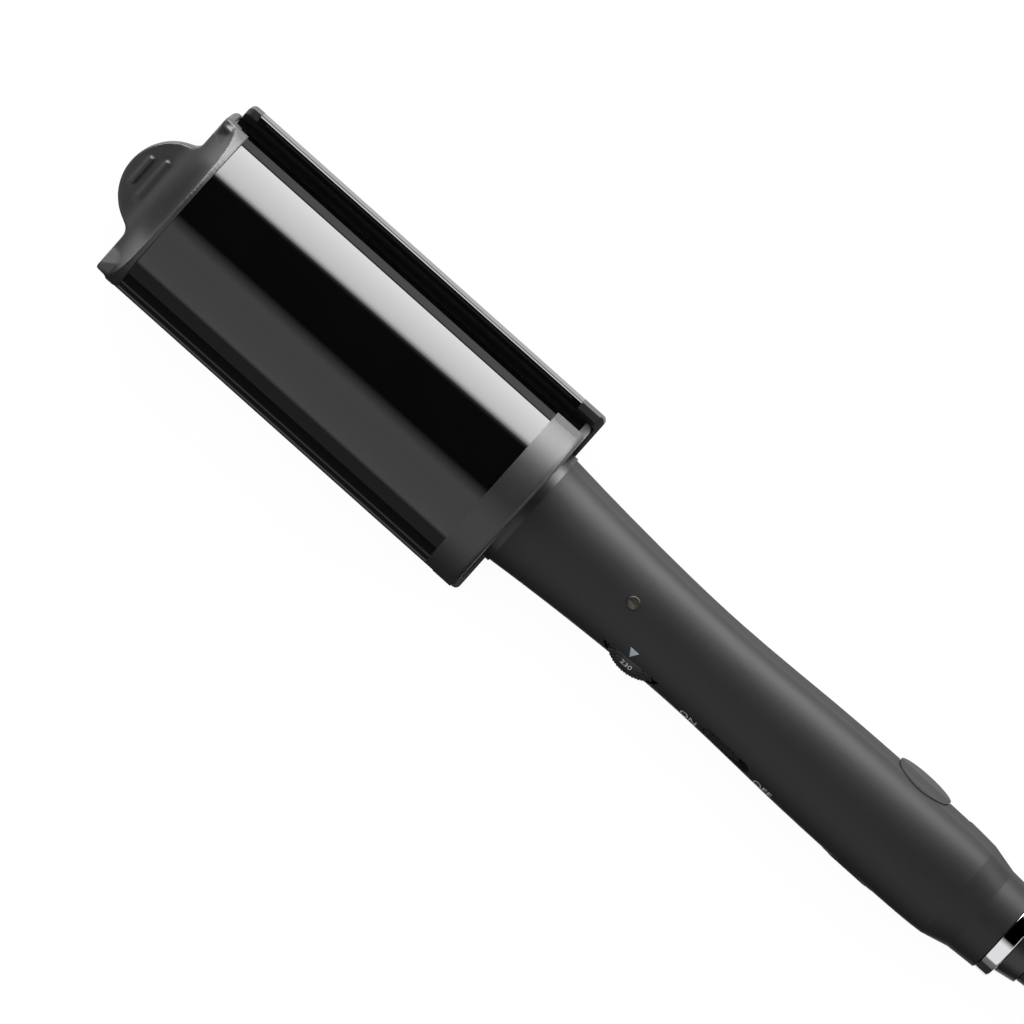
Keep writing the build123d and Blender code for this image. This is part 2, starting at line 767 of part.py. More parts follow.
with BuildPart() as upper_handle_shell:
    add(upper_hull)
    add(upper_room, mode=Mode.SUBTRACT)
    add(upper_posts)
    add(upper_tail_posts)
    add(pivot_discs)
    add(cap_pockets, mode=Mode.SUBTRACT)
    add(pin_hole, mode=Mode.SUBTRACT)
    with BuildSketch(Plane.XY.offset(upper_cover_top_z)):
        with Locations(*screw_spots):
            Circle(screw_radius)
    extrude(amount=boss_reach, mode=Mode.SUBTRACT)
    with BuildSketch(Plane.XY.offset(parting_z)):
        with Locations(*tail_spots):
            Circle(screw_radius)
    extrude(amount=boss_reach, mode=Mode.SUBTRACT)
    with BuildSketch(Plane.XY.offset(dial_bottom_z - dial_clearance)):
        with Locations((dial_x, dial_y)):
            Circle(dial_radius + dial_clearance)
    extrude(amount=dial_top_z - dial_bottom_z + 2 * dial_clearance, mode=Mode.SUBTRACT)
    with BuildSketch(switch_plane):
        SlotOverall(switch_slot_length, switch_slot_width)
    extrude(amount=2 * shell_wall, both=True, mode=Mode.SUBTRACT)
    with BuildSketch(Plane.XY.offset(dial_top_z)):
        with Locations((led_x, led_y)):
            Circle(led_radius + led_clearance)
    extrude(amount=tall, mode=Mode.SUBTRACT)
    with BuildSketch(Plane.YZ.offset(handle_front_x)):
        with Locations((0, wire_window_z)):
            Rectangle(wire_window_width, wire_window_height)
        with Locations(*pair_spots(upper_arm_screw_y, upper_arm_screw_z)):
            Circle(screw_radius + screw_clearance)
    extrude(amount=front_wall, mode=Mode.SUBTRACT)
write(upper_handle_shell.part, "upper_handle_shell")

upper_cover_fit = arm_body(upper_stations, parting_z, True, inset=shell_wall + cover_clearance)
with BuildPart() as upper_inner_cover:
    with BuildSketch(Plane.XY.offset(parting_z)):
        with Locations((cover_front_x, 0)):
            Rectangle(cover_rear_x - cover_front_x, arm_width, align=(Align.MIN, Align.CENTER))
    extrude(amount=cover_thickness)
    add(upper_cover_fit, mode=Mode.INTERSECT)
    with Locations(*[(x, y, parting_z) for x, y in screw_spots]):
        Cylinder(screw_head_radius + screw_clearance, 2 * screw_head_height, mode=Mode.SUBTRACT)
        Cylinder(screw_radius + screw_clearance, tall, mode=Mode.SUBTRACT)
write(upper_inner_cover.part, "upper_inner_cover")


def arm_screws(y, z, head_x, tip_x):
    """Two screws along X, from inside the handle's front wall into the jaw's rear cap."""
    with BuildPart() as pair:
        with BuildSketch(Plane.YZ.offset(head_x)):
            with Locations(*pair_spots(y, z)):
                Circle(screw_head_radius)
        extrude(amount=screw_head_height)
        with BuildSketch(Plane.YZ.offset(tip_x)):
            with Locations(*pair_spots(y, z)):
                Circle(screw_radius)
        extrude(amount=head_x - tip_x)
    return pair.part


upper_arm_screws = arm_screws(
    upper_arm_screw_y, upper_arm_screw_z, handle_front_x + front_wall, band_end_x - cap_wall
)
with BuildPart() as upper_screws:
    add(upper_arm_screws)
    with Locations(*[(x, y, parting_z) for x, y in screw_spots]):
        Cylinder(screw_head_radius, screw_head_height, align=(Align.CENTER, Align.CENTER, Align.MIN))
        Cylinder(screw_radius, boss_reach, align=(Align.CENTER, Align.CENTER, Align.MIN))
write(upper_screws.part, "upper_screws")

# ---------------------------------------------------------------- tail under the hinge
tail_outer = arm_body(tail_stations, parting_z, False)
tail_hollow = arm_body(tail_stations, parting_z, False, inset=shell_wall)
tail_rear = tail_body(tail_stations[-1], lower_shoulder_height, parting_z, False)
tail_rear_hollow = tail_body(tail_stations[-1], lower_shoulder_height, parting_z, False, inset=shell_wall)
tail_end_radius = lower_end_radius + tail_clearance
tail_hull = tail_outer + tail_rear
tail_room = (tail_hollow + tail_rear_hollow) - hinge_barrel(tail_end_radius + shell_wall)
tail_posts = [
    in_hull(tail_hull, Plane.XY.offset(parting_z) * Pos(*spot) * Circle(tail_boss_radius), -tall)
    for spot in tail_spots
]
tail_head_z = parting_z - tail_boss_drop
with BuildPart() as tail_cover:
    add(tail_hull)
    add(hinge_barrel(tail_end_radius), mode=Mode.SUBTRACT)
    add(tail_room, mode=Mode.SUBTRACT)
    add(tail_posts)
    with BuildSketch(Plane.XY.offset(tail_head_z)):
        with Locations(*tail_spots):
            Circle(screw_head_radius + screw_clearance)
    extrude(amount=-tall, mode=Mode.SUBTRACT)
    with BuildSketch(Plane.XY.offset(tail_head_z)):
        with Locations(*tail_spots):
            Circle(screw_radius + screw_clearance)
    extrude(amount=tall, mode=Mode.SUBTRACT)
write(tail_cover.part, "tail_cover")

with BuildPart() as tail_screws:
    with Locations(*[(x, y, tail_head_z) for x, y in tail_spots]):
        Cylinder(screw_head_radius, screw_head_height, align=(Align.CENTER, Align.CENTER, Align.MAX))
        Cylinder(screw_radius, tail_boss_drop + boss_reach - 1, align=(Align.CENTER, Align.CENTER, Align.MIN))
write(tail_screws.part, "tail_screws")

# ---------------------------------------------------------------- lower arm
front_half = Pos(hinge_x, 0, hinge_z) * Box(
    long, 2 * tall, 2 * tall, align=(Align.MAX, Align.CENTER, Align.CENTER)
)
lower_hull = lower_outer & (hinge_barrel(lower_end_radius) + front_half)
lower_room = lower_hollow & behind_wall & (hinge_barrel(lower_end_radius - shell_wall) + front_half)
relief_plane = Plane(
    origin=(hinge_x - ear_radius, 0, lower_top_z),
    x_dir=(math.cos(math.radians(open_relief_angle)), 0, -math.sin(math.radians(open_relief_angle))),
    z_dir=(math.sin(math.radians(open_relief_angle)), 0, math.cos(math.radians(open_relief_angle))),
)
relief_wedge = extrude(relief_plane * Rectangle(tall, tall, align=(Align.MIN, Align.CENTER)), tall)
ear_posts = []
ear_thickness = ear_outer_y - ear_inner_y
for ear_y in (ear_inner_y, -ear_outer_y):
    ear_plane = hinge_plane.offset(ear_y)
    web = extrude(ear_plane * Pos(0, tall / 2) * Rectangle(2 * ear_radius, tall), ear_thickness)
    ear_posts.append(web & lower_hull)
    ear_posts.append(extrude(ear_plane * Circle(ear_radius), ear_thickness))
lower_posts = [
    in_hull(lower_hull, Plane.XY.offset(lower_cover_bottom_z) * Pos(*spot) * Circle(boss_radius), -tall)
    for spot in screw_spots
]
with BuildPart() as lower_handle_shell:
    add(lower_hull)
    add(lower_room, mode=Mode.SUBTRACT)
    add(relief_wedge, mode=Mode.SUBTRACT)
    add(lower_posts)
    add(swing_pockets, mode=Mode.SUBTRACT)
    add(ear_posts)
    add(bush_holes, mode=Mode.SUBTRACT)
    with BuildSketch(Plane.XY.offset(lower_cover_bottom_z)):
        with Locations(*screw_spots):
            Circle(screw_radius)
    extrude(amount=-boss_reach, mode=Mode.SUBTRACT)
    with BuildSketch(Plane.YZ.offset(handle_front_x)):
        with Locations(*pair_spots(lower_wire_y, lower_slot_zs[2])):
            Rectangle(lower_slot_width, lower_slot_height)
        with Locations(*pair_spots(lower_arm_screw_y, lower_arm_screw_z)):
            Circle(screw_radius + screw_clearance)
    extrude(amount=front_wall, mode=Mode.SUBTRACT)
write(lower_handle_shell.part, "lower_handle_shell")

lower_front_width, lower_front_depth, lower_front_flank = lower_stations[0][1:]
lower_collar_face = arm_section(
    cross_plane(lower_cap_end_x, lower_top_z, False),
    lower_front_width - lower_arm_inset,
    lower_front_depth,
    lower_front_flank,
    0.0,
)
with BuildPart() as lower_collar:
    extrude(lower_collar_face, amount=handle_front_x - lower_cap_end_x, dir=(1, 0, 0))
    with BuildSketch(Plane.YZ.offset(lower_cap_end_x)):
        with Locations(*pair_spots(lower_wire_y, lower_slot_zs[1])):
            Rectangle(lower_slot_width, lower_slot_height)
        with Locations(*pair_spots(lower_arm_screw_y, lower_arm_screw_z)):
            Circle(screw_radius + screw_clearance)
    extrude(amount=handle_front_x - lower_cap_end_x, mode=Mode.SUBTRACT)
write(lower_collar.part, "lower_collar")

lower_cover_fit = arm_body(
    lower_stations, lower_top_z, False, narrow=lower_arm_inset, inset=shell_wall + cover_clearance
)
with BuildPart() as lower_inner_cover:
    with BuildSketch(Plane.XY.offset(lower_cover_bottom_z)):
        with Locations((cover_front_x, 0)):
            Rectangle(cover_rear_x - cover_front_x, arm_width, align=(Align.MIN, Align.CENTER))
    extrude(amount=cover_thickness)
    add(lower_cover_fit, mode=Mode.INTERSECT)
    with Locations(*[(x, y, lower_top_z) for x, y in screw_spots]):
        Cylinder(screw_head_radius + screw_clearance, 2 * screw_head_height, mode=Mode.SUBTRACT)
        Cylinder(screw_radius + screw_clearance, tall, mode=Mode.SUBTRACT)
write(lower_inner_cover.part, "lower_inner_cover")

lower_arm_screws = arm_screws(
    lower_arm_screw_y, lower_arm_screw_z, handle_front_x + front_wall, lower_cap_end_x - lower_end_wall
)
with BuildPart() as lower_screws:
    add(lower_arm_screws)
    with Locations(*[(x, y, lower_top_z) for x, y in screw_spots]):
        Cylinder(screw_head_radius, screw_head_height, align=(Align.CENTER, Align.CENTER, Align.MAX))
        Cylinder(screw_radius, boss_reach, align=(Align.CENTER, Align.CENTER, Align.MAX))
write(lower_screws.part, "lower_screws")

# ---------------------------------------------------------------- hinge
with BuildPart() as hinge_pin:
    with BuildSketch(hinge_plane):
        Circle(pin_radius)
    extrude(amount=disc_outer_y, both=True)
write(hinge_pin.part, "hinge_pin")

with BuildPart() as hinge_bushes:
    add(bush_outside)
    add(bush_inside, mode=Mode.SUBTRACT)
write(hinge_bushes.part, "hinge_bushes")

cap_skin = arm_body(upper_stations, parting_z, True, narrow=-hinge_cap_proud)
cap_skin += Pos(hinge_x, 0, parting_z) * Box(
    4 * hinge_cap_radius,
    2 * (hinge_half_width + hinge_cap_proud),
    2 * hinge_cap_radius,
    align=(Align.CENTER, Align.CENTER, Align.MAX),
)
cap_discs = (hinge_disc(hinge_cap_radius, disc_outer_y, 2 * disc_outer_y) & cap_skin).solids().sort_by(Axis.Y)
for side_name, disc in zip(("left", "right"), cap_discs):
    with BuildPart() as hinge_cap:
        add(disc)
    write(hinge_cap.part, f"hinge_cap_{side_name}")

spring_length = spring_turns * spring_pitch
spring_path = Helix(
    pitch=spring_pitch,
    height=spring_length,
    radius=spring_radius,
    center=(hinge_x, -spring_length / 2, hinge_z),
    direction=(0, 1, 0),
)
with BuildPart() as opening_spring:
    with BuildSketch(Plane(origin=spring_path @ 0, z_dir=spring_path % 0)):
        Circle(spring_wire / 2)
    sweep(path=spring_path, is_frenet=True)
    with BuildSketch(Plane(origin=spring_path @ 0, z_dir=-(spring_path % 0))):
        Circle(spring_wire / 2)
    extrude(amount=spring_leg)
    with BuildSketch(Plane(origin=spring_path @ 1, z_dir=spring_path % 1)):
        Circle(spring_wire / 2)
    extrude(amount=spring_leg)
write(opening_spring.part, "opening_spring")

# ---------------------------------------------------------------- controls
with BuildPart() as dial_wheel:
    with BuildSketch(Plane(origin=(dial_x, dial_y, 0), x_dir=(1, 0, 0), z_dir=(0, -1, 0))):
        with BuildLine():
            Polyline(
                (dial_shaft_radius, dial_bottom_z),
                (dial_radius, dial_bottom_z),
                (dial_radius, dial_rim_top_z),
                (dial_face_radius, dial_top_z),
                (dial_shaft_radius, dial_top_z),
                close=True,
            )
        make_face()
    revolve(axis=Axis((dial_x, dial_y, 0), (0, 0, 1)))
    with BuildSketch(Plane.XY.offset(dial_bottom_z)):
        with Locations((dial_x, dial_y)):
            with PolarLocations(dial_radius, dial_knurls):
                Circle(knurl_radius)
    extrude(amount=dial_top_z - dial_bottom_z, mode=Mode.SUBTRACT)
write(dial_wheel.part, "dial_wheel")

shaft_bottom_z = upper_cover_top_z + 2 * pot_seat
with BuildPart() as dial_shaft:
    with BuildSketch(Plane.XY.offset(shaft_bottom_z)):
        with Locations((dial_x, dial_y)):
            Circle(dial_shaft_radius)
    extrude(amount=dial_top_z - pot_seat - shaft_bottom_z)
write(dial_shaft.part, "dial_shaft")

with BuildPart() as dial_potentiometer:
    with BuildSketch(Plane.XY.offset(upper_cover_top_z)):
        with Locations((dial_x, dial_y)):
            Circle(pot_radius)
    extrude(amount=pot_thickness)
    with BuildSketch(Plane.XY.offset(upper_cover_top_z + pot_seat)):
        with Locations((dial_x, dial_y)):
            Circle(dial_shaft_radius + running_clearance)
    extrude(amount=pot_thickness, mode=Mode.SUBTRACT)
write(dial_potentiometer.part, "dial_potentiometer")

slider_x = -(switch_slot_length - slider_length) / 2 + slider_clearance
slider_width = switch_slot_width - 2 * slider_clearance
body_top = -(slider_sink + slider_height + slider_clearance)
with BuildPart() as power_slider:
    with BuildSketch(switch_plane.offset(-slider_sink - slider_height)):
        with Locations((slider_x, 0)):
            SlotOverall(slider_length, slider_width)
    extrude(amount=slider_height)
    with BuildSketch(switch_plane.offset(-slider_sink)):
        with Locations((slider_x, 0)):
            with GridLocations(slider_length / (slider_ribs + 2), 0, slider_ribs, 1):
                Rectangle(slider_rib_width, slider_width - 2 * slider_rib_inset)
    extrude(amount=slider_rib_height)
    with BuildSketch(switch_plane.offset(-slider_sink - slider_height)):
        with Locations((slider_x, 0)):
            Rectangle(slider_stem_length, slider_stem_width)
    extrude(amount=-slider_stem_depth)
write(power_slider.part, "power_slider")

with BuildPart() as switch_body:
    with BuildSketch(switch_plane.offset(body_top)):
        Rectangle(switch_body_length, switch_body_width)
    extrude(amount=-switch_body_depth)
    with BuildSketch(switch_plane.offset(body_top)):
        Rectangle(
            slider_stem_length + 2 * (abs(slider_x) + slider_clearance),
            slider_stem_width + 2 * slider_clearance,
        )
    extrude(amount=-slider_stem_depth, mode=Mode.SUBTRACT)
write(switch_body.part, "switch_body")

with BuildPart() as control_board:
    with BuildSketch(Plane.XY.offset(board_bottom_z)):
        with Locations((board_front_x, board_low_y)):
            Rectangle(board_rear_x - board_front_x, board_high_y - board_low_y, align=(Align.MIN, Align.MIN))
    extrude(amount=board_thickness)
    with BuildSketch(Plane.XY.offset(board_bottom_z + board_thickness)):
        with Locations(*chip_spots):
            Rectangle(*chip_size)
    extrude(amount=chip_height)
    with BuildSketch(Plane.XY.offset(board_bottom_z + board_thickness)):
        with Locations(capacitor_spot):
            Circle(capacitor_radius)
    extrude(amount=capacitor_height)
write(control_board.part, "control_board")

led_board_length = led_x + led_lamp_size / 2 - led_board_front_x
with BuildPart() as led_board:
    with BuildSketch(Plane.XY.offset(led_board_z)):
        with Locations((led_board_front_x, led_y)):
            Rectangle(led_board_length, led_board_width, align=(Align.MIN, Align.CENTER))
    extrude(amount=led_board_thickness)
write(led_board.part, "led_board")

with BuildPart() as led_lamp:
    with BuildSketch(Plane.XY.offset(led_board_z + led_board_thickness)):
        with Locations((led_x, led_y)):
            Rectangle(led_lamp_size, led_lamp_size)
    extrude(amount=led_lamp_height)
write(led_lamp.part, "led_lamp")

with BuildPart() as led_window:
    with BuildSketch(Plane.XY.offset(led_board_z + led_board_thickness + led_lamp_height)):
        with Locations((led_x, led_y)):
            Circle(led_radius)
    extrude(amount=tall)
    add(upper_outer, mode=Mode.INTERSECT)
write(led_window.part, "led_window")

# ---------------------------------------------------------------- wires
with BuildPart() as upper_jaw_wires:
    with BuildSketch(Plane.YZ.offset(upper_wire_start_x)):
        with Locations(*[(y, upper_wire_z) for y in upper_wire_ys]):
            Circle(upper_wire_radius)
    extrude(amount=upper_wire_end_x - upper_wire_start_x)
write(upper_jaw_wires.part, "upper_jaw_wires")

with BuildPart() as lower_jaw_wires:
    for wire_y in (-lower_wire_y, lower_wire_y):
        with BuildLine() as wire_path:
            FilletPolyline(
                (lower_wire_start_x, wire_y, lower_wire_jaw_z),
                (lower_wire_rise_x[0], wire_y, lower_wire_jaw_z),
                (lower_wire_rise_x[1], wire_y, lower_wire_arm_z),
                (lower_wire_end_x, wire_y, lower_wire_arm_z),
                radius=lower_wire_bend,
            )
        with BuildSketch(Plane.YZ.offset(lower_wire_start_x)):
            with Locations((wire_y, lower_wire_jaw_z)):
                Circle(lower_wire_radius)
        sweep(path=wire_path.wire())
write(lower_jaw_wires.part, "lower_jaw_wires")

with BuildPart() as mains_wires:
    with BuildSketch(Plane.YZ.offset(mains_wire_start_x)):
        with Locations(*pair_spots(mains_wire_y, mains_wire_z)):
            Circle(mains_wire_radius)
    extrude(amount=mains_wire_end_x - mains_wire_start_x)
write(mains_wires.part, "mains_wires")

# ---------------------------------------------------------------- sensors
upper_plate_floor_z = wave_centre_z - barrel_radius + plate_wall
with BuildPart() as thermal_fuse:
    with BuildSketch(Plane.YZ.offset(fuse_x)):
        with Locations((0, upper_plate_floor_z + fuse_radius + contact_gap)):
            Circle(fuse_radius)
    extrude(amount=fuse_length)
write(thermal_fuse.part, "thermal_fuse")


def write_sensor(name, bottom_z):
    """Flat temperature sensor on the tool's middle line."""
    with BuildPart() as sensor:
        with BuildSketch(Plane.XY.offset(bottom_z)):
            with Locations((sensor_x, 0)):
                RectangleRounded(sensor_length, sensor_width, sensor_corner)
        extrude(amount=sensor_thickness)
    write(sensor.part, name)


write_sensor("upper_temperature_sensor", upper_plate_floor_z + sensor_seat)
write_sensor("lower_temperature_sensor", lower_wall)

# ---------------------------------------------------------------- swivel
ring_start_x = neck_end_x + ring_seat_gap
ring_end_x = ring_start_x + ring_length
swivel_start_x = ring_end_x + swivel_gap
swivel_end_x = swivel_start_x + swivel_length
relief_start_x = swivel_end_x + swivel_gap
axis_plane = Plane(origin=(0, 0, hinge_z), x_dir=(0, 1, 0), z_dir=(1, 0, 0))

with BuildPart() as tail_ring:
    with BuildSketch(axis_plane.offset(ring_start_x)):
        Circle(ring_radius)
        Circle(ring_seat_radius, mode=Mode.SUBTRACT)
    extrude(amount=ring_length)
    fillet(tail_ring.edges().filter_by(GeomType.CIRCLE).group_by(SortBy.RADIUS)[-1], ring_fillet)
write(tail_ring.part, "tail_ring")

with BuildPart() as swivel_socket:
    with BuildSketch(axis_plane.offset(socket_front_x)):
        Circle(socket_radius)
    extrude(amount=neck_end_x - socket_front_x)
    with BuildSketch(axis_plane.offset(neck_end_x)):
        Circle(ring_seat_radius)
    extrude(amount=ring_end_x - neck_end_x)
    with BuildSketch(axis_plane.offset(socket_front_x)):
        Circle(spindle_radius + running_clearance)
    extrude(amount=ring_end_x - socket_front_x, mode=Mode.SUBTRACT)
write(swivel_socket.part, "swivel_socket")

with BuildPart() as swivel_spindle:
    with BuildSketch(axis_plane.offset(spindle_front_x)):
        Circle(spindle_radius)
    extrude(amount=swivel_end_x + spindle_nose - spindle_front_x)
    with BuildSketch(axis_plane.offset(retainer_front_x)):
        Circle(retainer_radius)
    extrude(amount=retainer_length)
write(swivel_spindle.part, "swivel_spindle")

with BuildPart() as swivel_collar:
    with BuildSketch(axis_plane.offset(swivel_start_x)):
        Circle(dome_start_radius)
    with BuildSketch(axis_plane.offset(swivel_end_x)):
        Circle(dome_end_radius)
    loft()
    with BuildSketch(axis_plane.offset(swivel_start_x)):
        Circle(spindle_radius)
    extrude(amount=swivel_length, mode=Mode.SUBTRACT)
write(swivel_collar.part, "swivel_collar")

with BuildPart() as slip_rings:
    for ring_x in slip_ring_x:
        with BuildSketch(axis_plane.offset(ring_x)):
            Circle(slip_ring_radius)
            Circle(spindle_radius, mode=Mode.SUBTRACT)
        extrude(amount=slip_ring_length)
write(slip_rings.part, "slip_rings")

with BuildPart() as brush_contacts:
    with BuildSketch(Plane.XY.offset(hinge_z + slip_ring_radius + brush_clearance)):
        with Locations(*[(x + slip_ring_length / 2, 0) for x in slip_ring_x]):
            Rectangle(*brush_size)
    extrude(amount=brush_height)
write(brush_contacts.part, "brush_contacts")

# ---------------------------------------------------------------- strain relief and cord
relief_turn = math.radians(relief_bend_angle)
bend_x = relief_start_x + relief_collar
bend_end = (
    bend_x + relief_bend_radius * math.sin(relief_turn),
    -relief_bend_radius * (1 - math.cos(relief_turn)),
)
relief_end = (
    bend_end[0] + relief_straight * math.cos(relief_turn),
    bend_end[1] - relief_straight * math.sin(relief_turn),
)
relief_length = relief_collar + relief_bend_radius * relief_turn + relief_straight


def relief_circle(x, y, turn, travelled):
    """Cross-section of the strain relief at a point of its line."""
    share = travelled / relief_length
    radius = relief_start_radius + (relief_end_radius - relief_start_radius) * share
    plane = Plane(origin=(x, y, hinge_z), x_dir=(0, 0, 1), z_dir=(math.cos(turn), -math.sin(turn), 0))
    return plane * Circle(radius)


relief_arc = []
for turn in [relief_turn * step / relief_steps for step in range(relief_steps + 1)]:
    arc_x = bend_x + relief_bend_radius * math.sin(turn)
    arc_y = -relief_bend_radius * (1 - math.cos(turn))
    relief_arc.append(relief_circle(arc_x, arc_y, turn, relief_collar + relief_bend_radius * turn))
relief_root = relief_circle(relief_start_x, 0, 0, 0)
relief_tip = relief_circle(*relief_end, relief_turn, relief_length)
with BuildPart() as strain_relief:
    loft([relief_root, relief_arc[0]])
    loft(relief_arc)
    loft([relief_arc[-1], relief_tip])
    with BuildSketch(axis_plane.offset(relief_start_x)):
        Circle(spindle_radius + running_clearance)
    extrude(amount=spindle_nose, mode=Mode.SUBTRACT)
write(strain_relief.part, "strain_relief")

coil_bottom_z = tie_thickness
cord_floor_z = coil_bottom_z + cord_radius
coil_entry = (coil_centre[0], coil_centre[1] - coil_mid_radius - (coil_columns - 1) * cord_radius)
coil_exit_z = coil_bottom_z + coil_height - cord_radius
coil_exit = (coil_centre[0], coil_centre[1] + coil_mid_radius + (coil_columns - 1) * cord_radius)


def ahead(place, line, distance):
    """The place that lies a distance along a line."""
    return (place[0] + distance * line[0], place[1] + distance * line[1])


relief_line = (math.cos(relief_turn), -math.sin(relief_turn))
plug_heading = math.radians(plug_heading_angle)
plug_line = (math.cos(plug_heading), math.sin(plug_heading))
plug_axis_z = plug_thickness / 2

# The points that the lead follows from the strain relief to the coil, then from the coil to the plug.
lead_points = [
    (*relief_end, hinge_z),
    (*ahead(relief_end, relief_line, relief_lead_run), hinge_z),
    (296.8, -39.2, 16.8),
    (306.2, -43.6, 13.4),
    (317.0, -46.1, 9.4),
    (329.0, -46.8, 6.1),
    (342.6, -46.6, 4.4),
    (*coil_entry, cord_floor_z),
]
plug_lead_points = [
    (*coil_exit, coil_exit_z),
    (341.4, 39.9, 23.75),
    (329.8, 39.0, 19.4),
    (319.8, 35.5, 10.8),
    (*ahead(plug_entry, plug_line, -plug_lead_run), plug_axis_z),
    (*plug_entry, plug_axis_z),
]


def cord_tube(points, name):
    """Round cord along straight runs joined by tangent arcs."""
    vectors = [Vector(*point) for point in points]
    radii = []
    for before, here, after in zip(vectors, vectors[1:], vectors[2:]):
        turn = math.radians((here - before).get_angle(after - here))
        run = min((here - before).length, (after - here).length)
        radii.append(bend_share * run / math.tan(turn / 2))
    with BuildPart() as tube:
        with BuildLine() as path:
            FilletPolyline(*points, radius=radii)
        with BuildSketch(Plane(origin=path.line @ 0, z_dir=path.line % 0)):
            Circle(cord_radius)
        sweep(path=path.wire())
    expected = math.pi * cord_radius ** 2 * path.wire().length
    print(name, "bend radii", [round(radius, 1) for radius in radii])
    print(name, "volume", round(tube.part.volume), "section times length", round(expected))
    write(tube.part, name)


cord_tube(lead_points, "cord_lead")
cord_tube(plug_lead_points, "plug_lead")

with BuildPart() as cord_coil:
    with BuildSketch(Plane(origin=(*coil_centre, 0), x_dir=(1, 0, 0), z_dir=(0, -1, 0))):
        with Locations((coil_mid_radius, coil_bottom_z + coil_height / 2)):
            RectangleRounded(2 * coil_columns * cord_radius, coil_height, cord_radius)
    revolve(axis=Axis((*coil_centre, 0), (0, 0, 1)))
write(cord_coil.part, "cord_coil")

tie_turn = math.radians(tie_angle)
tie_plane = Plane(
    origin=(*coil_centre, 0),
    x_dir=(math.cos(tie_turn), math.sin(tie_turn), 0),
    z_dir=(math.sin(tie_turn), -math.cos(tie_turn), 0),
)
with BuildPart() as cord_tie:
    with BuildSketch(tie_plane):
        with Locations((coil_mid_radius, coil_bottom_z + coil_height / 2)):
            RectangleRounded(
                2 * (coil_columns * cord_radius + tie_thickness),
                coil_height + 2 * tie_thickness,
                cord_radius + tie_thickness,
            )
    extrude(amount=tie_width / 2, both=True)
    add(cord_coil.part, mode=Mode.SUBTRACT)
write(cord_tie.part, "cord_tie")

plug_plane = Plane(origin=(*plug_entry, 0), x_dir=(*plug_line, 0), z_dir=(0, 0, 1))
plug_front = plug_relief_length + plug_length
with BuildPart() as plug_body:
    with BuildSketch(plug_plane):
        with BuildLine():
            Polyline(
                (plug_relief_length, -plug_nose_width / 4),
                (plug_relief_length + plug_length / 2, -plug_width / 2),
                (plug_front, -plug_width / 2),
                (plug_front, plug_width / 2),
                (plug_relief_length + plug_length / 2, plug_width / 2),
                (plug_relief_length, plug_nose_width / 4),
                close=True,
            )
        make_face()
    extrude(amount=plug_thickness)
    fillet(plug_body.edges().filter_by(Axis.Z), plug_corner)
    chamfer(plug_body.faces().sort_by(Axis.Z)[-1].edges(), plug_edge)
    chamfer(plug_body.faces().sort_by(Axis.Z)[0].edges(), plug_edge)
write(plug_body.part, "plug_body")

plug_axis_plane = Plane(origin=(*plug_entry, plug_axis_z), x_dir=(0, 0, 1), z_dir=(*plug_line, 0))
with BuildPart() as plug_relief:
    with BuildSketch(plug_axis_plane):
        Circle(cord_radius + plug_relief_wall)
    with BuildSketch(plug_axis_plane.offset(plug_relief_length)):
        Circle(plug_nose_width / 4 - plug_relief_step)
    loft()
write(plug_relief.part, "plug_relief")

with BuildPart() as plug_pins:
    with BuildSketch(plug_axis_plane.offset(plug_front)):
        with GridLocations(0, plug_pin_spacing, 1, 2):
            Circle(plug_pin_radius)
    extrude(amount=plug_pin_length)
    pin_ends = plug_pins.edges().filter_by(GeomType.CIRCLE)
    pin_tips = pin_ends.sort_by(lambda edge: edge.arc_center.dot(Vector(*plug_line)))[-2:]
    chamfer(pin_tips, plug_pin_chamfer)
write(plug_pins.part, "plug_pins")
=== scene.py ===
"""Hair waver: its finishes, prints, mains lead, light and camera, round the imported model."""
import json
from math import cos, pi, radians, sin

import bpy
from mathutils import Matrix, Vector


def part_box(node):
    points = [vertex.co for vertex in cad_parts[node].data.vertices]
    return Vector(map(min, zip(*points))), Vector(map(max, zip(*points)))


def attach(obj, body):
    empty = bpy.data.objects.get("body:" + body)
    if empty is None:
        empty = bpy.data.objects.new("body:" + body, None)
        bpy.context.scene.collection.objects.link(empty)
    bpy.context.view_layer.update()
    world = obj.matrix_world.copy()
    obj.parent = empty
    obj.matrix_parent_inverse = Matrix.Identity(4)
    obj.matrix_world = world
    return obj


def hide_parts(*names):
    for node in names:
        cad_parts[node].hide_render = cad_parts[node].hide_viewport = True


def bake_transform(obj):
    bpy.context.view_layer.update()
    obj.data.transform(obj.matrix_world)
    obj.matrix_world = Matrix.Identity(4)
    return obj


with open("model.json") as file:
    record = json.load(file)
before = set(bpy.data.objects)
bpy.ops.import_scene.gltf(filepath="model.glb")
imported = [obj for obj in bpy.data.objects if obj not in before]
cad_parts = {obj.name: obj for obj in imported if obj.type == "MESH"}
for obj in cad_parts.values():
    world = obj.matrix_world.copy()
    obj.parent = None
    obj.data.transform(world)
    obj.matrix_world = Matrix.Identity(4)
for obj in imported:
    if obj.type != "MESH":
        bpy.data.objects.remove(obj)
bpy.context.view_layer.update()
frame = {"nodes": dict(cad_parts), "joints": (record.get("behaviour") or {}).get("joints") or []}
nodes = frame["nodes"]
mm = 0.001
MIX_SHARE, MIX_LOW, MIX_HIGH, MIX_COLOUR = 0, 6, 7, 2   # the colour mixer's sockets

# ---------------------------------------------------------------- sizes taken from the frame
pivots = {joint["name"]: joint["pos_m"] for joint in frame["joints"] if joint["type"] == "hinge"}
hinge_z = pivots["jaw_open"][2]
dial_x, dial_y = pivots["dial_turn"][:2]

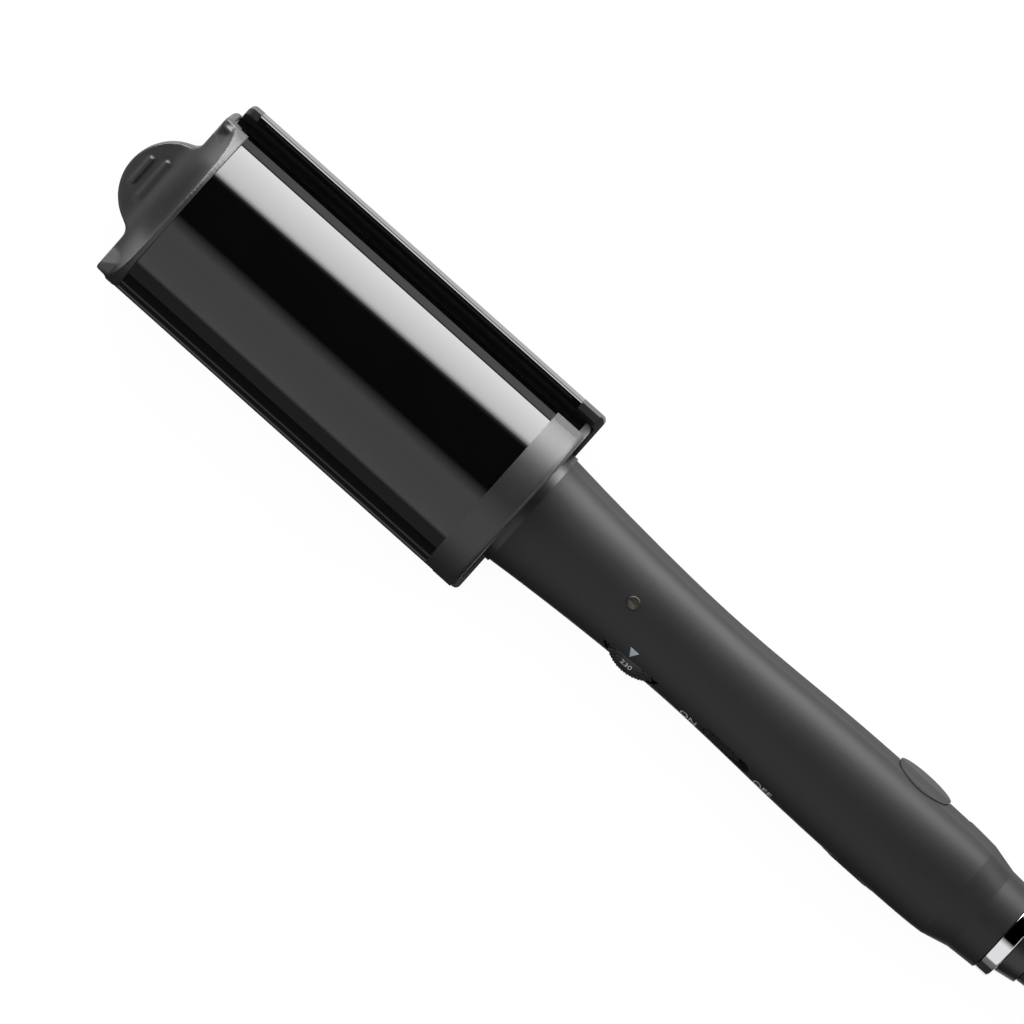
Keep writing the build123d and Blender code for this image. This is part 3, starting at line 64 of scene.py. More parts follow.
# ---------------------------------------------------------------- mains lead: sizes and route
cord_radius = 3.25 * mm
lead_route = (
    (282.383 * mm, -25.771 * mm, 18.0 * mm),
    (289.074 * mm, -33.202 * mm, 18.0 * mm),
    (296.8 * mm, -39.2 * mm, 16.8 * mm),
    (306.2 * mm, -43.6 * mm, 13.4 * mm),
    (317.0 * mm, -46.1 * mm, 9.4 * mm),
    (329.0 * mm, -46.8 * mm, 6.1 * mm),
    (342.6 * mm, -46.6 * mm, 4.4 * mm),
)
plug_route = (
    (341.4 * mm, 39.9 * mm, 23.75 * mm),
    (329.8 * mm, 39.0 * mm, 19.4 * mm),
    (319.8 * mm, 35.5 * mm, 10.8 * mm),
    (306.981 * mm, 31.767 * mm, 6.8 * mm),
    (293.0 * mm, 32.5 * mm, 6.8 * mm),
)
plug_heading = radians(177)
coil_centre = Vector((357.0 * mm, -4.0 * mm, 0.0))
coil_bottom = 1.0 * mm
coil_layers = 4
coil_outer_column = 42.5 * mm
coil_points_per_turn = 16
coil_turned = 3780           # degrees from the entry below to the exit on top
layer_turned = 1000          # degrees spent on one layer
column_steps = (288, 648)    # degrees into a layer at which the cord changes column
crossing = 70                # degrees that a change takes
climb_lead = 30              # degrees before a layer's end at which the cord climbs to the next

relief_start_x = 249.3 * mm
relief_collar = 3.2 * mm
relief_bend_radius = 15.0 * mm
relief_turn = radians(48)
relief_straight = 28.0 * mm
relief_radii = (7.9 * mm, 4.4 * mm)
relief_rib_pitch = 3.4 * mm
relief_groove = 0.55 * mm
relief_plain_end = 2 * mm
# share of the rib's pitch, and how deep the groove is there
relief_rib_shape = ((0.3, 0), (0.42, relief_groove), (0.62, relief_groove), (0.74, 0), (1.0, 0))
plug_relief_length = 16.0 * mm
plug_relief_radii = (3.85 * mm, 6.1 * mm)
plug_relief_ribs = 5
plug_relief_groove = 0.5 * mm
rib_edge = 0.18 * mm         # how far the ribs' edges are rounded
sleeve_sides = 40

# ---------------------------------------------------------------- camera and stage
frame_width = 0.2758         # what the camera takes in from left to right, at the tool
camera_distance = 3.4
camera_reach = 20
sensor_width = 36.0
aim = Vector((64.1 * mm, -4.4 * mm, 18.0 * mm))
camera_lean = (0.0, radians(10.0))
tool_slope = radians(41.33)  # how far the tool slopes down to the right
studio_white = 1.05          # what mirrors see where no card hangs
studio_tint = (1, 0.97, 0.975, 1)
ambient_light = 0.3          # what falls on things from all round
paper_glow = 0.94            # what the paper under the tool shines by itself
paper_grey = (0.14, 0.14, 0.14, 1)
paper_size = 8
paper_z = -0.0002            # just below the tool, so that the two don't meet


# ================================================================ helpers
def linear(hex_colour):
    """An sRGB hex colour as linear RGBA."""
    channels = [int(hex_colour[i:i + 2], 16) / 255 for i in (1, 3, 5)]
    return [c / 12.92 if c <= 0.04045 else ((c + 0.055) / 1.055) ** 2.4 for c in channels] + [1.0]


def per_mm(size):
    """Texture scale at which a pattern's features are that many millimetres apart."""
    return 1 / (size * mm)


def add_node(tree, kind, values=None, links=None, **settings):
    """Adds a node with its settings, its socket values and its links."""
    made = tree.nodes.new(kind)
    for name, value in settings.items():
        setattr(made, name, value)
    for socket, value in (values or {}).items():
        made.inputs[socket].default_value = value
    for socket, source in (links or {}).items():
        tree.links.new(source, made.inputs[socket])
    return made


def finish(name, colour, roughness, **sockets):
    """A material whose shader has these values. Returns the material, its tree and its shader."""
    material = bpy.data.materials.new(name)
    material.use_nodes = True
    tree = material.node_tree
    shader = tree.nodes["Principled BSDF"]
    shader.inputs["Base Color"].default_value = linear(colour)
    shader.inputs["Roughness"].default_value = roughness
    for socket, value in sockets.items():
        shader.inputs[socket.replace("_", " ")].default_value = value
    return material, tree, shader


def tones_by(tree, shader, pattern, low, high):
    """Base colour that goes from the low tone to the high one as the pattern goes from 0 to 1."""
    tones = add_node(
        tree, "ShaderNodeMix", {MIX_LOW: linear(low), MIX_HIGH: linear(high)}, {MIX_SHARE: pattern},
        data_type="RGBA",
    )
    tree.links.new(tones.outputs[MIX_COLOUR], shader.inputs["Base Color"])


def two_tone(tree, shader, place, size, low, high, detail=3.0):
    """Colour that wanders between two tones over patches of that size."""
    patches = add_node(
        tree, "ShaderNodeTexNoise", {"Scale": per_mm(size), "Detail": detail}, {"Vector": place}
    )
    tones_by(tree, shader, patches.outputs["Fac"], low, high)
    return patches


def roughness_between(tree, shader, pattern, low, high):
    """Roughness that follows a pattern."""
    spread = add_node(
        tree, "ShaderNodeMapRange", {"To Min": low, "To Max": high}, {"Value": pattern.outputs["Fac"]}
    )
    tree.links.new(spread.outputs["Result"], shader.inputs["Roughness"])


def grain(tree, shader, place, size, depth, strength=1.0, detail=2.0):
    """Raised grain with features of that size and that depth, both in millimetres."""
    bumps = add_node(
        tree, "ShaderNodeTexNoise", {"Scale": per_mm(size), "Detail": detail}, {"Vector": place}
    )
    relief = add_node(
        tree, "ShaderNodeBump", {"Strength": strength, "Distance": depth * mm},
        {"Height": bumps.outputs["Fac"]},
    )
    tree.links.new(relief.outputs["Normal"], shader.inputs["Normal"])


def object_place(tree):
    """Places on the piece itself, so that a pattern moves with it."""
    return add_node(tree, "ShaderNodeTexCoord").outputs["Object"]


# ================================================================ finishes
def polished_black_abs():
    """High-gloss black ABS from a polished mould: mirror-like, with a very faint waviness."""
    material, tree, shader = finish("polished_black_abs", "#0b0b0c", 0.045, IOR=1.54)
    place = object_place(tree)
    swirls = two_tone(tree, shader, place, 14.0, "#08080a", "#0e0d0e")
    roughness_between(tree, shader, swirls, 0.03, 0.06)
    grain(tree, shader, place, 22.0, 0.02, detail=0.0)
    return material


def sparked_nylon():
    """Glass-filled heat-proof nylon from a spark-eroded mould: matte, finely pitted, a little cloudy."""
    material, tree, shader = finish("sparked_nylon", "#262628", 0.4, IOR=1.53)
    place = object_place(tree)
    clouds = two_tone(tree, shader, place, 5.0, "#222224", "#2a2a2c")
    roughness_between(tree, shader, clouds, 0.36, 0.44)
    grain(tree, shader, place, 0.35, 0.03, 0.8)
    return material


def soft_touch_paint():
    """Soft-touch polyurethane paint on ABS: charcoal, velvety, with one broad dull sheen."""
    material, tree, shader = finish("soft_touch_paint", "#222224", 0.53, IOR=1.36)
    place = object_place(tree)
    clouds = two_tone(tree, shader, place, 18.0, "#212122", "#252526")
    roughness_between(tree, shader, clouds, 0.49, 0.54)
    grain(tree, shader, place, 0.3, 0.006, 0.6)
    return material


def satin_black_nylon():
    """Satin black nylon, as moulded."""
    material, tree, shader = finish("satin_black_nylon", "#161617", 0.38, IOR=1.53)
    place = object_place(tree)
    two_tone(tree, shader, place, 8.0, "#141415", "#19191a")
    grain(tree, shader, place, 0.4, 0.01, 0.5)
    return material


def speckled_dial_nylon():
    """Dark grey glass-filled nylon: dull, with paler specks of glass near the surface."""
    material, tree, shader = finish("speckled_dial_nylon", "#262628", 0.42, IOR=1.53)
    place = object_place(tree)
    specks = add_node(
        tree, "ShaderNodeTexVoronoi", {"Scale": per_mm(0.8), "Randomness": 1.0}, {"Vector": place}
    )
    heads = add_node(
        tree, "ShaderNodeMapRange", {"From Min": 0.15, "From Max": 0.35, "To Min": 1.0, "To Max": 0.0},
        {"Value": specks.outputs["Distance"]},
    )
    tones_by(tree, shader, heads.outputs["Result"], "#1d1d1f", "#3c3c40")
    grain(tree, shader, place, 0.3, 0.02, 0.6)
    return material


def slider_nylon():
    """Dark nylon button, rubbed a little smooth by the thumb."""
    material, tree, shader = finish("slider_nylon", "#1c1c1d", 0.42, IOR=1.53)
    place = object_place(tree)
    rubbed = two_tone(tree, shader, place, 3.0, "#19191a", "#202022")
    roughness_between(tree, shader, rubbed, 0.34, 0.5)
    grain(tree, shader, place, 0.3, 0.01, 0.5)
    return material


def bright_chrome():
    """Chromium plating over polished brass: a clean mirror with a slightly cool tint."""
    material, tree, shader = finish("bright_chrome", "#d6d8dc", 0.03, Metallic=1.0)
    place = object_place(tree)
    film = two_tone(tree, shader, place, 9.0, "#d2d4d9", "#dcdde0")
    roughness_between(tree, shader, film, 0.02, 0.05)
    return material


def clear_acrylic():
    """Smoky clear acrylic of the lamp's window, with a yellowish cast."""
    material, tree, shader = finish("clear_acrylic", "#3a3626", 0.08, IOR=1.49, Transmission_Weight=0.2)
    place = object_place(tree)
    two_tone(tree, shader, place, 1.5, "#2a2718", "#5a5540")
    return material


def lamp_epoxy():
    """Milky epoxy body of a small lamp."""
    material, tree, shader = finish("lamp_epoxy", "#e8e2c8", 0.25, IOR=1.5)
    two_tone(tree, shader, object_place(tree), 1.0, "#e0d9bc", "#efe9d2")
    return material


def ceramic_coated_aluminium():
    """Aluminium plate with a fired ceramic coat: charcoal, satin, with fine mineral sparkle."""
    material, tree, shader = finish("ceramic_coated_aluminium", "#3a383a", 0.3, IOR=1.6, Metallic=0.35)
    place = object_place(tree)
    flecks = two_tone(tree, shader, place, 0.25, "#2f2d2f", "#4b484b", 1.0)
    roughness_between(tree, shader, flecks, 0.24, 0.4)
    grain(tree, shader, place, 0.25, 0.004, 0.5)
    return material


def drawn_steel():
    """Drawn spring steel with lines left by the die."""
    material, tree, shader = finish("drawn_steel", "#9b9b9d", 0.3, Metallic=1.0)
    place = object_place(tree)
    lines = two_tone(tree, shader, place, 0.4, "#8b8b8e", "#a9a9aa")
    roughness_between(tree, shader, lines, 0.24, 0.4)
    return material


def sintered_bronze():
    """Oil-filled sintered bronze, warm and faintly porous."""
    material, tree, shader = finish("sintered_bronze", "#b5864c", 0.38, Metallic=1.0)
    place = object_place(tree)
    two_tone(tree, shader, place, 0.3, "#a3773f", "#c2935a")
    grain(tree, shader, place, 0.2, 0.01, 0.5)
    return material


def fired_ceramic():
    """Unglazed fired ceramic of the heaters, chalky and slightly mottled."""
    material, tree, shader = finish("fired_ceramic", "#d8d0c4", 0.8, IOR=1.6)
    place = object_place(tree)
    two_tone(tree, shader, place, 1.2, "#cfc6b8", "#e1dacf")
    grain(tree, shader, place, 0.3, 0.02, 0.6)
    return material


def pressed_mica():
    """Pressed mica sheet: brown-gold flakes that lie flat and glint."""
    material, tree, shader = finish("pressed_mica", "#a3845a", 0.45, IOR=1.58)
    place = object_place(tree)
    flakes = add_node(tree, "ShaderNodeTexVoronoi", {"Scale": per_mm(2.0)}, {"Vector": place})
    tones_by(tree, shader, flakes.outputs["Color"], "#8c6d45", "#bfa277")
    return material


def coated_laminate():
    """Glass-epoxy circuit board under green solder mask."""
    material, tree, shader = finish("coated_laminate", "#1f5a35", 0.3, IOR=1.55)
    place = object_place(tree)
    weave = two_tone(tree, shader, place, 0.6, "#1b5230", "#25663d", 0.0)
    roughness_between(tree, shader, weave, 0.25, 0.38)
    return material


def plain_nylon():
    """Unpainted grey nylon of the inner mouldings."""
    material, tree, shader = finish("plain_nylon", "#39393b", 0.55, IOR=1.53)
    place = object_place(tree)
    two_tone(tree, shader, place, 6.0, "#343436", "#3f3f42")
    grain(tree, shader, place, 0.4, 0.02, 0.5)
    return material


def silicone_sleeve():
    """Red silicone insulation of the inner wires, slightly dusty."""
    material, tree, shader = finish("silicone_sleeve", "#a32a22", 0.5, IOR=1.41)
    place = object_place(tree)
    two_tone(tree, shader, place, 3.0, "#96231c", "#ad3229")
    return material


def cord_pvc():
    """Black PVC jacket of the lead: satin, with a faint unevenness from extrusion."""
    material, tree, shader = finish("cord_pvc", "#161616", 0.42, IOR=1.53)
    place = object_place(tree)
    drag = two_tone(tree, shader, place, 4.0, "#131313", "#1a1a1a")
    roughness_between(tree, shader, drag, 0.36, 0.48)
    grain(tree, shader, place, 0.8, 0.01, 0.5)
    return material


def plug_pvc():
    """Black PVC moulded round the lead's ends: duller than the jacket, finely textured."""
    material, tree, shader = finish("plug_pvc", "#1b1b1c", 0.5, IOR=1.53)
    place = object_place(tree)
    clouds = two_tone(tree, shader, place, 6.0, "#181819", "#202021")
    roughness_between(tree, shader, clouds, 0.44, 0.56)
    grain(tree, shader, place, 0.4, 0.02, 0.6)
    return material


def nickel_plate():
    """Nickel plating on brass pins, bright with a warm cast."""
    material, tree, shader = finish("nickel_plate", "#c8c3b8", 0.18, Metallic=1.0)
    place = object_place(tree)
    film = two_tone(tree, shader, place, 2.0, "#c0bab0", "#d0cbc0")
    roughness_between(tree, shader, film, 0.14, 0.24)
    return material


def pad_print(name, low, high):
    """Pad-printed ink, thin and matte, a little uneven in cover."""
    material, tree, shader = finish(name, high, 0.55, IOR=1.5)
    two_tone(tree, shader, object_place(tree), 0.5, low, high)
    return material


finishes = {
    "heat_plate": ceramic_coated_aluminium(),
    "jaw_plastic": sparked_nylon(),
    "jaw_gloss": polished_black_abs(),
    "soft_touch": soft_touch_paint(),
    "collar_plastic": satin_black_nylon(),
    "dial_plastic": speckled_dial_nylon(),
    "slider_plastic": slider_nylon(),
    "ring_chrome": bright_chrome(),
    "lamp_lens": clear_acrylic(),
    "lamp_body": lamp_epoxy(),
    "spring_steel": drawn_steel(),
    "bronze": sintered_bronze(),
    "heater_ceramic": fired_ceramic(),
    "mica": pressed_mica(),
    "board": coated_laminate(),
    "inner_plastic": plain_nylon(),
    "wire_cover": silicone_sleeve(),
    "cord_rubber": cord_pvc(),
    "plug_rubber": plug_pvc(),
    "plug_metal": nickel_plate(),
}
node_finishes = {
    "heat_plate": ("upper_wave_plate", "lower_wave_plate"),
    "jaw_plastic": ("upper_tip_cap", "upper_rear_cap", "lower_tip_cap", "lower_rear_cap"),
    "jaw_gloss": ("dome_cover", "lower_jaw_housing", "upper_jaw_frame"),
    "soft_touch": (
        "upper_handle_shell", "lower_handle_shell", "tail_cover", "hinge_cap_left", "hinge_cap_right",
    ),
    "collar_plastic": ("jaw_collar", "lower_collar", "swivel_collar"),
    "dial_plastic": ("dial_wheel",),
    "slider_plastic": ("power_slider",),
    "ring_chrome": ("tail_ring",),
    "lamp_lens": ("led_window",),
    "lamp_body": ("led_lamp",),
    "spring_steel": (
        "opening_spring", "hinge_pin", "upper_screws", "lower_screws", "tail_screws", "dial_shaft",
        "upper_heater_clips", "lower_heater_clips",
    ),
    "bronze": ("hinge_bushes", "slip_rings", "brush_contacts"),
    "heater_ceramic": ("upper_heaters", "lower_heaters"),
    "mica": ("upper_mica_sheets", "lower_mica_sheets"),
    "board": ("control_board", "led_board"),
    "inner_plastic": (
        "upper_inner_cover", "lower_inner_cover", "swivel_socket", "swivel_spindle", "switch_body",
        "dial_potentiometer", "thermal_fuse", "upper_temperature_sensor", "lower_temperature_sensor",
    ),
    "wire_cover": ("upper_jaw_wires", "lower_jaw_wires", "mains_wires"),
    "cord_rubber": ("cord_lead", "cord_coil", "plug_lead", "cord_tie"),
    "plug_rubber": ("strain_relief", "plug_relief", "plug_body"),
    "plug_metal": ("plug_pins",),
}
for finish_slot, members in node_finishes.items():
    for member in members:
        for material_slot in nodes[member].material_slots:
            material_slot.link = "OBJECT"
            material_slot.material = finishes[finish_slot]
        if not nodes[member].material_slots:
            nodes[member].data.materials.append(finishes[finish_slot])


# ================================================================ modelling helpers
def start_clean():
    """Leaves nothing selected, so that an operator acts only on what comes next."""
    if bpy.context.object and bpy.context.object.mode != "OBJECT":
        bpy.ops.object.mode_set(mode="OBJECT")
    bpy.ops.object.select_all(action="DESELECT")


def select_only(piece):
    """Leaves only this piece selected, and active."""
    start_clean()
    piece.select_set(True)
    bpy.context.view_layer.objects.active = piece


def add_object(name, data):
    """A new object in the scene with this mesh, curve, light or camera."""
    made = bpy.data.objects.new(name, data)
    bpy.context.scene.collection.objects.link(made)
    return made


def apply_place(piece):
    """Puts the piece's place into its mesh."""
    select_only(piece)
    bpy.ops.object.transform_apply(location=True, rotation=True, scale=True)


def edit_all(piece):
    """Opens the piece for editing, with all of it selected."""
    select_only(piece)
    bpy.ops.object.mode_set(mode="EDIT")
    bpy.ops.mesh.select_all(action="SELECT")


def close_outwards():
    """Turns all faces outwards and ends the editing."""
    bpy.ops.mesh.select_all(action="SELECT")
    bpy.ops.mesh.normals_make_consistent(inside=False)
    bpy.ops.object.mode_set(mode="OBJECT")


def join_onto(piece, others):
    """Makes the others part of the piece."""
    select_only(piece)
    for other in others:
        other.select_set(True)
    bpy.ops.object.join()


def dress(piece, name, slot, body, material=None):
    """Names a finished piece, gives it its finish and lets it ride on its body."""
    piece.name = name
    piece.data.name = name
    piece.data.materials.clear()
    piece.data.materials.append(material or finishes[slot])
    if body:
        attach(piece, body)


def apply_modifier(piece, kind, **settings):
    """Adds a modifier with its settings and applies it."""
    select_only(piece)
    step = piece.modifiers.new(kind.title(), kind)
    for name, value in settings.items():
        setattr(step, name, value)
    bpy.ops.object.modifier_apply(modifier=step.name)


# ================================================================ mains lead
def eased(turned, start):
    """Goes from 0 to 1 while the cord changes over from start."""
    share = min(max((turned - start) / crossing, 0.0), 1.0)
    return share * share * (3 - 2 * share)


def coil_point(turned):
    """Control point of the cord's line after it has gone that many degrees round the coil."""
    column = 0.0
    layer = 0.0
    for level in range(coil_layers):
        inwards = 1 if level % 2 == 0 else -1
        for step in column_steps:
            column += inwards * eased(turned, level * layer_turned + step)
        if level + 1 < coil_layers:
            layer += eased(turned, (level + 1) * layer_turned - climb_lead)
    # the curve runs a little inside its control points, so they stand that much further out
    outset = 3 / (2 + cos(2 * pi / coil_points_per_turn))
    radius = (coil_outer_column - column * 2 * cord_radius) * outset
    polar = radians(turned - 90)
    height = coil_bottom + cord_radius + layer * 2 * cord_radius
    return coil_centre + Vector((radius * cos(polar), radius * sin(polar), height))


def cord_points():
    """The control points of the whole lead, from the strain relief to the plug."""
    step = 360 / coil_points_per_turn
    turns = [coil_point(step * i) for i in range(int(coil_turned / step) + 1)]
    return [Vector(p) for p in lead_route] + turns + [Vector(p) for p in plug_route]


def cord_curve(name, points, bevel):
    """A smooth curve with the points as its control points."""
    curve = bpy.data.curves.new(name, "CURVE")
    curve.dimensions = "3D"
    curve.resolution_u = 4
    curve.bevel_depth = bevel
    curve.bevel_resolution = 3
    curve.use_fill_caps = bevel > 0
    spline = curve.splines.new("NURBS")
    spline.points.add(len(points) - 1)
    for spline_point, place in zip(spline.points, points):
        spline_point.co = (*place, 1.0)
    spline.order_u = 4
    spline.use_endpoint_u = True
    return add_object(name, curve)


def line_points(points):
    """Points along the smooth line itself."""
    line = cord_curve("cord_line", points, 0.0)
    bpy.context.view_layer.update()
    mesh = bpy.data.meshes.new_from_object(line)
    places = [v.co.copy() for v in mesh.vertices]
    bpy.data.meshes.remove(mesh)
    bpy.data.objects.remove(line)
    return places


def make_cord():
    """The whole lead in one piece, from the strain relief through the coil to the plug."""
    points = cord_points()
    path = line_points(points)
    tube = cord_curve("mains_cord", points, cord_radius)
    select_only(tube)
    bpy.ops.object.convert(target="MESH")
    cord = bpy.context.object
    bpy.ops.object.shade_smooth()
    dress(cord, "mains_cord", "cord_rubber", None)
    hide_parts("cord_lead", "cord_coil", "plug_lead")
    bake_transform(cord)


def ribbed_sleeve(name, start, heading, steps, body, node):
    """A ribbed, tapered sleeve. Each step is (distance forward, turn, new radius)."""
    radius = steps[0][2]
    start_clean()
    bpy.ops.mesh.primitive_circle_add(
        vertices=sleeve_sides, radius=radius, fill_type="NGON", location=start,
        rotation=(0, pi / 2, heading),
    )
    sleeve = bpy.context.object
    apply_place(sleeve)
    edit_all(sleeve)
    centre = Vector(start)
    turned = heading
    for forward, turn, new_radius in steps[1:]:
        turned += turn / 2
        move = forward * Vector((cos(turned), sin(turned), 0))
        turned += turn / 2
        centre += move
        bpy.ops.mesh.extrude_region_move(TRANSFORM_OT_translate={"value": move})
        if turn:
            bpy.ops.transform.rotate(value=-turn, orient_axis="Z", center_override=centre)
        bpy.ops.transform.resize(value=(new_radius / radius,) * 3, center_override=centre)
        radius = new_radius
    close_outwards()
    apply_modifier(
        sleeve, "BEVEL", width=rib_edge, segments=2, limit_method="ANGLE", angle_limit=radians(25)
    )
    select_only(sleeve)
    bpy.ops.object.shade_smooth_by_angle(angle=radians(40))
    dress(sleeve, name, "plug_rubber", body)
    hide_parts(node)


def strain_relief_steps():
    """Steps along the strain relief: a plain collar, then ribs that get smaller."""
    arc_length = relief_bend_radius * relief_turn
    whole = relief_collar + arc_length + relief_straight
    steps = [(0, 0, relief_radii[0])]
    travelled = 0.0

    def radius_at(distance):
        return relief_radii[0] + (relief_radii[1] - relief_radii[0]) * distance / whole

    def forward_to(distance, depth):
        nonlocal travelled
        bend_from = min(max(travelled - relief_collar, 0), arc_length)
        bend_to = min(max(distance - relief_collar, 0), arc_length)
        turn = -(bend_to - bend_from) / relief_bend_radius
        steps.append((distance - travelled, turn, radius_at(distance) - depth))
        travelled = distance

    forward_to(relief_collar, 0)
    at = relief_collar
    while at + relief_rib_pitch < whole - relief_plain_end:
        for share, depth in relief_rib_shape:
            forward_to(at + share * relief_rib_pitch, depth)
        at += relief_rib_pitch
    forward_to(whole, 0)
    return steps


def plug_relief_steps():
    """Steps along the plug's strain relief: ribs that get larger towards the plug."""
    small, large = plug_relief_radii
    pitch = plug_relief_length / plug_relief_ribs
    steps = [(0, 0, small)]
    for rib in range(plug_relief_ribs):
        base = small + (large - small) * rib / plug_relief_ribs
        after = small + (large - small) * (rib + 1) / plug_relief_ribs
        middle = (base + after) / 2
        sunk = middle - plug_relief_groove
        for share, radius in ((0.5, middle), (0.12, sunk), (0.26, sunk), (0.12, after)):
            steps.append((share * pitch, 0, radius))
    return steps


ribbed_sleeve(
    "strain_relief_ribbed", (relief_start_x, 0, hinge_z), 0.0, strain_relief_steps(), "upper_arm",
    "strain_relief",
)
ribbed_sleeve(
    "plug_relief_ribbed", plug_route[-1], plug_heading, plug_relief_steps(), "lower_arm", "plug_relief"
)
make_cord()


# ================================================================ tip cap
# in millimetres, as are the rows: distance from the middle, height in front and height behind
cap_corner_front, cap_corner_back, cap_corner_low = -63.1, -58.0, 31.5
cap_corner_rows = ((21.0, 31.6, 39.0), (25.0, 35.6, 38.8), (27.1, 35.5, 36.6))
corner_margin = 1.0          # millimetre that tells one row or level of a corner from the next
cap_weld = 0.001 * mm
cap_voxel = 0.4 * mm
cap_smoothing = 8            # rounds of smoothing that soften the cap's edges


def corner_block(side):
    """The solid end of the cap beside the hollow slope, as high as the lip behind it."""
    inner, middle, outer = (row[0] for row in cap_corner_rows)
    along = (cap_corner_front + cap_corner_back) / 2
    centre = Vector((along, side * (inner + middle) / 2, cap_corner_low)) * mm
    start_clean()
    bpy.ops.mesh.primitive_plane_add(size=1, location=centre)
    block = bpy.context.object
    block.scale = ((cap_corner_back - cap_corner_front) * mm, (middle - inner) * mm, 1)
    apply_place(block)
    bpy.ops.object.mode_set(mode="EDIT")
    bpy.ops.mesh.select_mode(type="EDGE")
    bpy.ops.mesh.select_all(action="DESELECT")
    bpy.ops.object.mode_set(mode="OBJECT")
    beyond = (inner + corner_margin) * mm
    for edge in block.data.edges:
        edge.select = all(abs(block.data.vertices[i].co.y) > beyond for i in edge.vertices)
    bpy.ops.object.mode_set(mode="EDIT")
    bpy.ops.mesh.extrude_region_move(
        TRANSFORM_OT_translate={"value": (0, side * (outer - middle) * mm, 0)}
    )
    bpy.ops.mesh.select_mode(type="FACE")
    bpy.ops.mesh.select_all(action="SELECT")
    # raised by any amount past the margin: the rows then give the real heights
    bpy.ops.mesh.extrude_region_move(TRANSFORM_OT_translate={"value": (0, 0, 2 * corner_margin * mm)})
    bpy.ops.object.mode_set(mode="OBJECT")
    for vertex in block.data.vertices:
        if vertex.co.z > (cap_corner_low + corner_margin) * mm:
            row = min(cap_corner_rows, key=lambda r: abs(r[0] * mm - abs(vertex.co.y)))
            vertex.co.z = row[1 if vertex.co.x < centre.x else 2] * mm
    bpy.ops.object.mode_set(mode="EDIT")
    bpy.ops.mesh.select_mode(type="VERT")
    close_outwards()
    return block


def smoothed_tip_cap():
    """The tip cap as it comes from its mould: one soft surface, its lip rounded over the dome's end."""
    cap = add_object("tip_cap_moulded", nodes["upper_tip_cap"].data.copy())
    edit_all(cap)
    bpy.ops.mesh.remove_doubles(threshold=cap_weld)
    bpy.ops.object.mode_set(mode="OBJECT")
    join_onto(cap, [corner_block(side) for side in (-1, 1)])
    apply_modifier(cap, "REMESH", mode="VOXEL", voxel_size=cap_voxel)
    apply_modifier(cap, "SMOOTH", factor=0.5, iterations=cap_smoothing)
    select_only(cap)
    bpy.ops.object.shade_smooth()
    dress(cap, "tip_cap_moulded", "jaw_plastic", "upper_arm")
    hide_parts("upper_tip_cap")


smoothed_tip_cap()


# ================================================================ dial
dial_low = 23.2 * mm
dial_foot_radius = 11.9 * mm
dial_sides = 96
# in millimetres: radius and height of each ring of the wheel, from its foot to the hollow on top
dial_profile = (
    (12.2, 23.5), (12.2, 26.4), (12.05, 26.75), (8.15, 29.4), (7.9, 29.5), (6.2, 29.5), (6.0, 29.3),
    (2.4, 29.3),
)
pip_radius = 0.45 * mm
# in millimetres: radius and height of each row of pips, then their count round the dial
pip_rows = (
    (12.1, 24.2, 44), (12.1, 25.4, 44), (11.95, 26.6, 44),
    (11.2, 27.3, 40), (10.4, 27.85, 36), (9.5, 28.45, 32),
)
rim_rows = 3                 # the first rows, on the rim, pass below the numbers
dial_numbers = ("230", "200", "170", "140", "110", "80")
number_step = radians(54)
number_room = radians(15)    # kept free of pips to each side of a number
number_slope = radians(35)   # how steep the numbers lie, about as the cone does
number_radius = 10.0 * mm
number_level = 28.1 * mm
number_height = 1.6 * mm
number_stretch = 1.15


def extrude_ring(up, widen, centre):
    """Carries the selected ring up and makes it wider or narrower about the centre."""
    bpy.ops.mesh.extrude_region_move(TRANSFORM_OT_translate={"value": (0, 0, up)})
    bpy.ops.transform.resize(value=(widen, widen, 1), center_override=centre)


def beside_number(turn):
    """Whether a place round the dial is taken by a number."""
    for number in range(len(dial_numbers)):
        apart = (turn + pi / 2 + number * number_step + pi) % (2 * pi) - pi
        if abs(apart) < number_room:
            return True
    return False


def dial_pips():
    """Small pips for the finger, every other row set on by half a step."""
    start_clean()
    bpy.ops.mesh.primitive_uv_sphere_add(
        segments=8, ring_count=5, radius=pip_radius, location=(0, 0, 0)
    )
    pip = bpy.context.object
    pips = []
    for row, (row_radius, row_height, count) in enumerate(pip_rows):
        for number in range(count):
            turn = 2 * pi * (number + 0.5 * (row % 2)) / count
            if row >= rim_rows and beside_number(turn):
                continue
            copy = add_object("pip", pip.data.copy())
            copy.location = (
                dial_x + row_radius * mm * cos(turn), dial_y + row_radius * mm * sin(turn), row_height * mm
            )
            pips.append(copy)
    bpy.data.objects.remove(pip)
    return pips


def moulded_dial():
    """The dial: a turned wheel with a coned face and rows of small pips for the finger."""
    centre = Vector((dial_x, dial_y, dial_low))
    radius, height = dial_foot_radius, dial_low
    start_clean()
    bpy.ops.mesh.primitive_circle_add(
        vertices=dial_sides, radius=radius, fill_type="NGON", location=centre
    )
    wheel = bpy.context.object
    apply_place(wheel)
    edit_all(wheel)
    for new_radius, new_height in dial_profile:
        extrude_ring(new_height * mm - height, new_radius * mm / radius, centre)
        radius, height = new_radius * mm, new_height * mm
    close_outwards()
    join_onto(wheel, dial_pips())
    bpy.ops.object.shade_smooth_by_angle(angle=radians(35))
    dress(wheel, "dial_wheel_moulded", "dial_plastic", "dial")
    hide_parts("dial_wheel")


moulded_dial()


# ================================================================ prints
ink_lift = 0.03 * mm
ink_thickness = 0.04 * mm
print_weld = 0.002 * mm
print_start = 4 * mm         # above its surface, from where a print is laid down
capital_height = 0.72        # of the font's size
shoulder_slope = radians(52)
shoulder_normal = Vector((0, -sin(shoulder_slope), cos(shoulder_slope)))
switch_word_height, switch_word_level = 2.7 * mm, 27.8 * mm
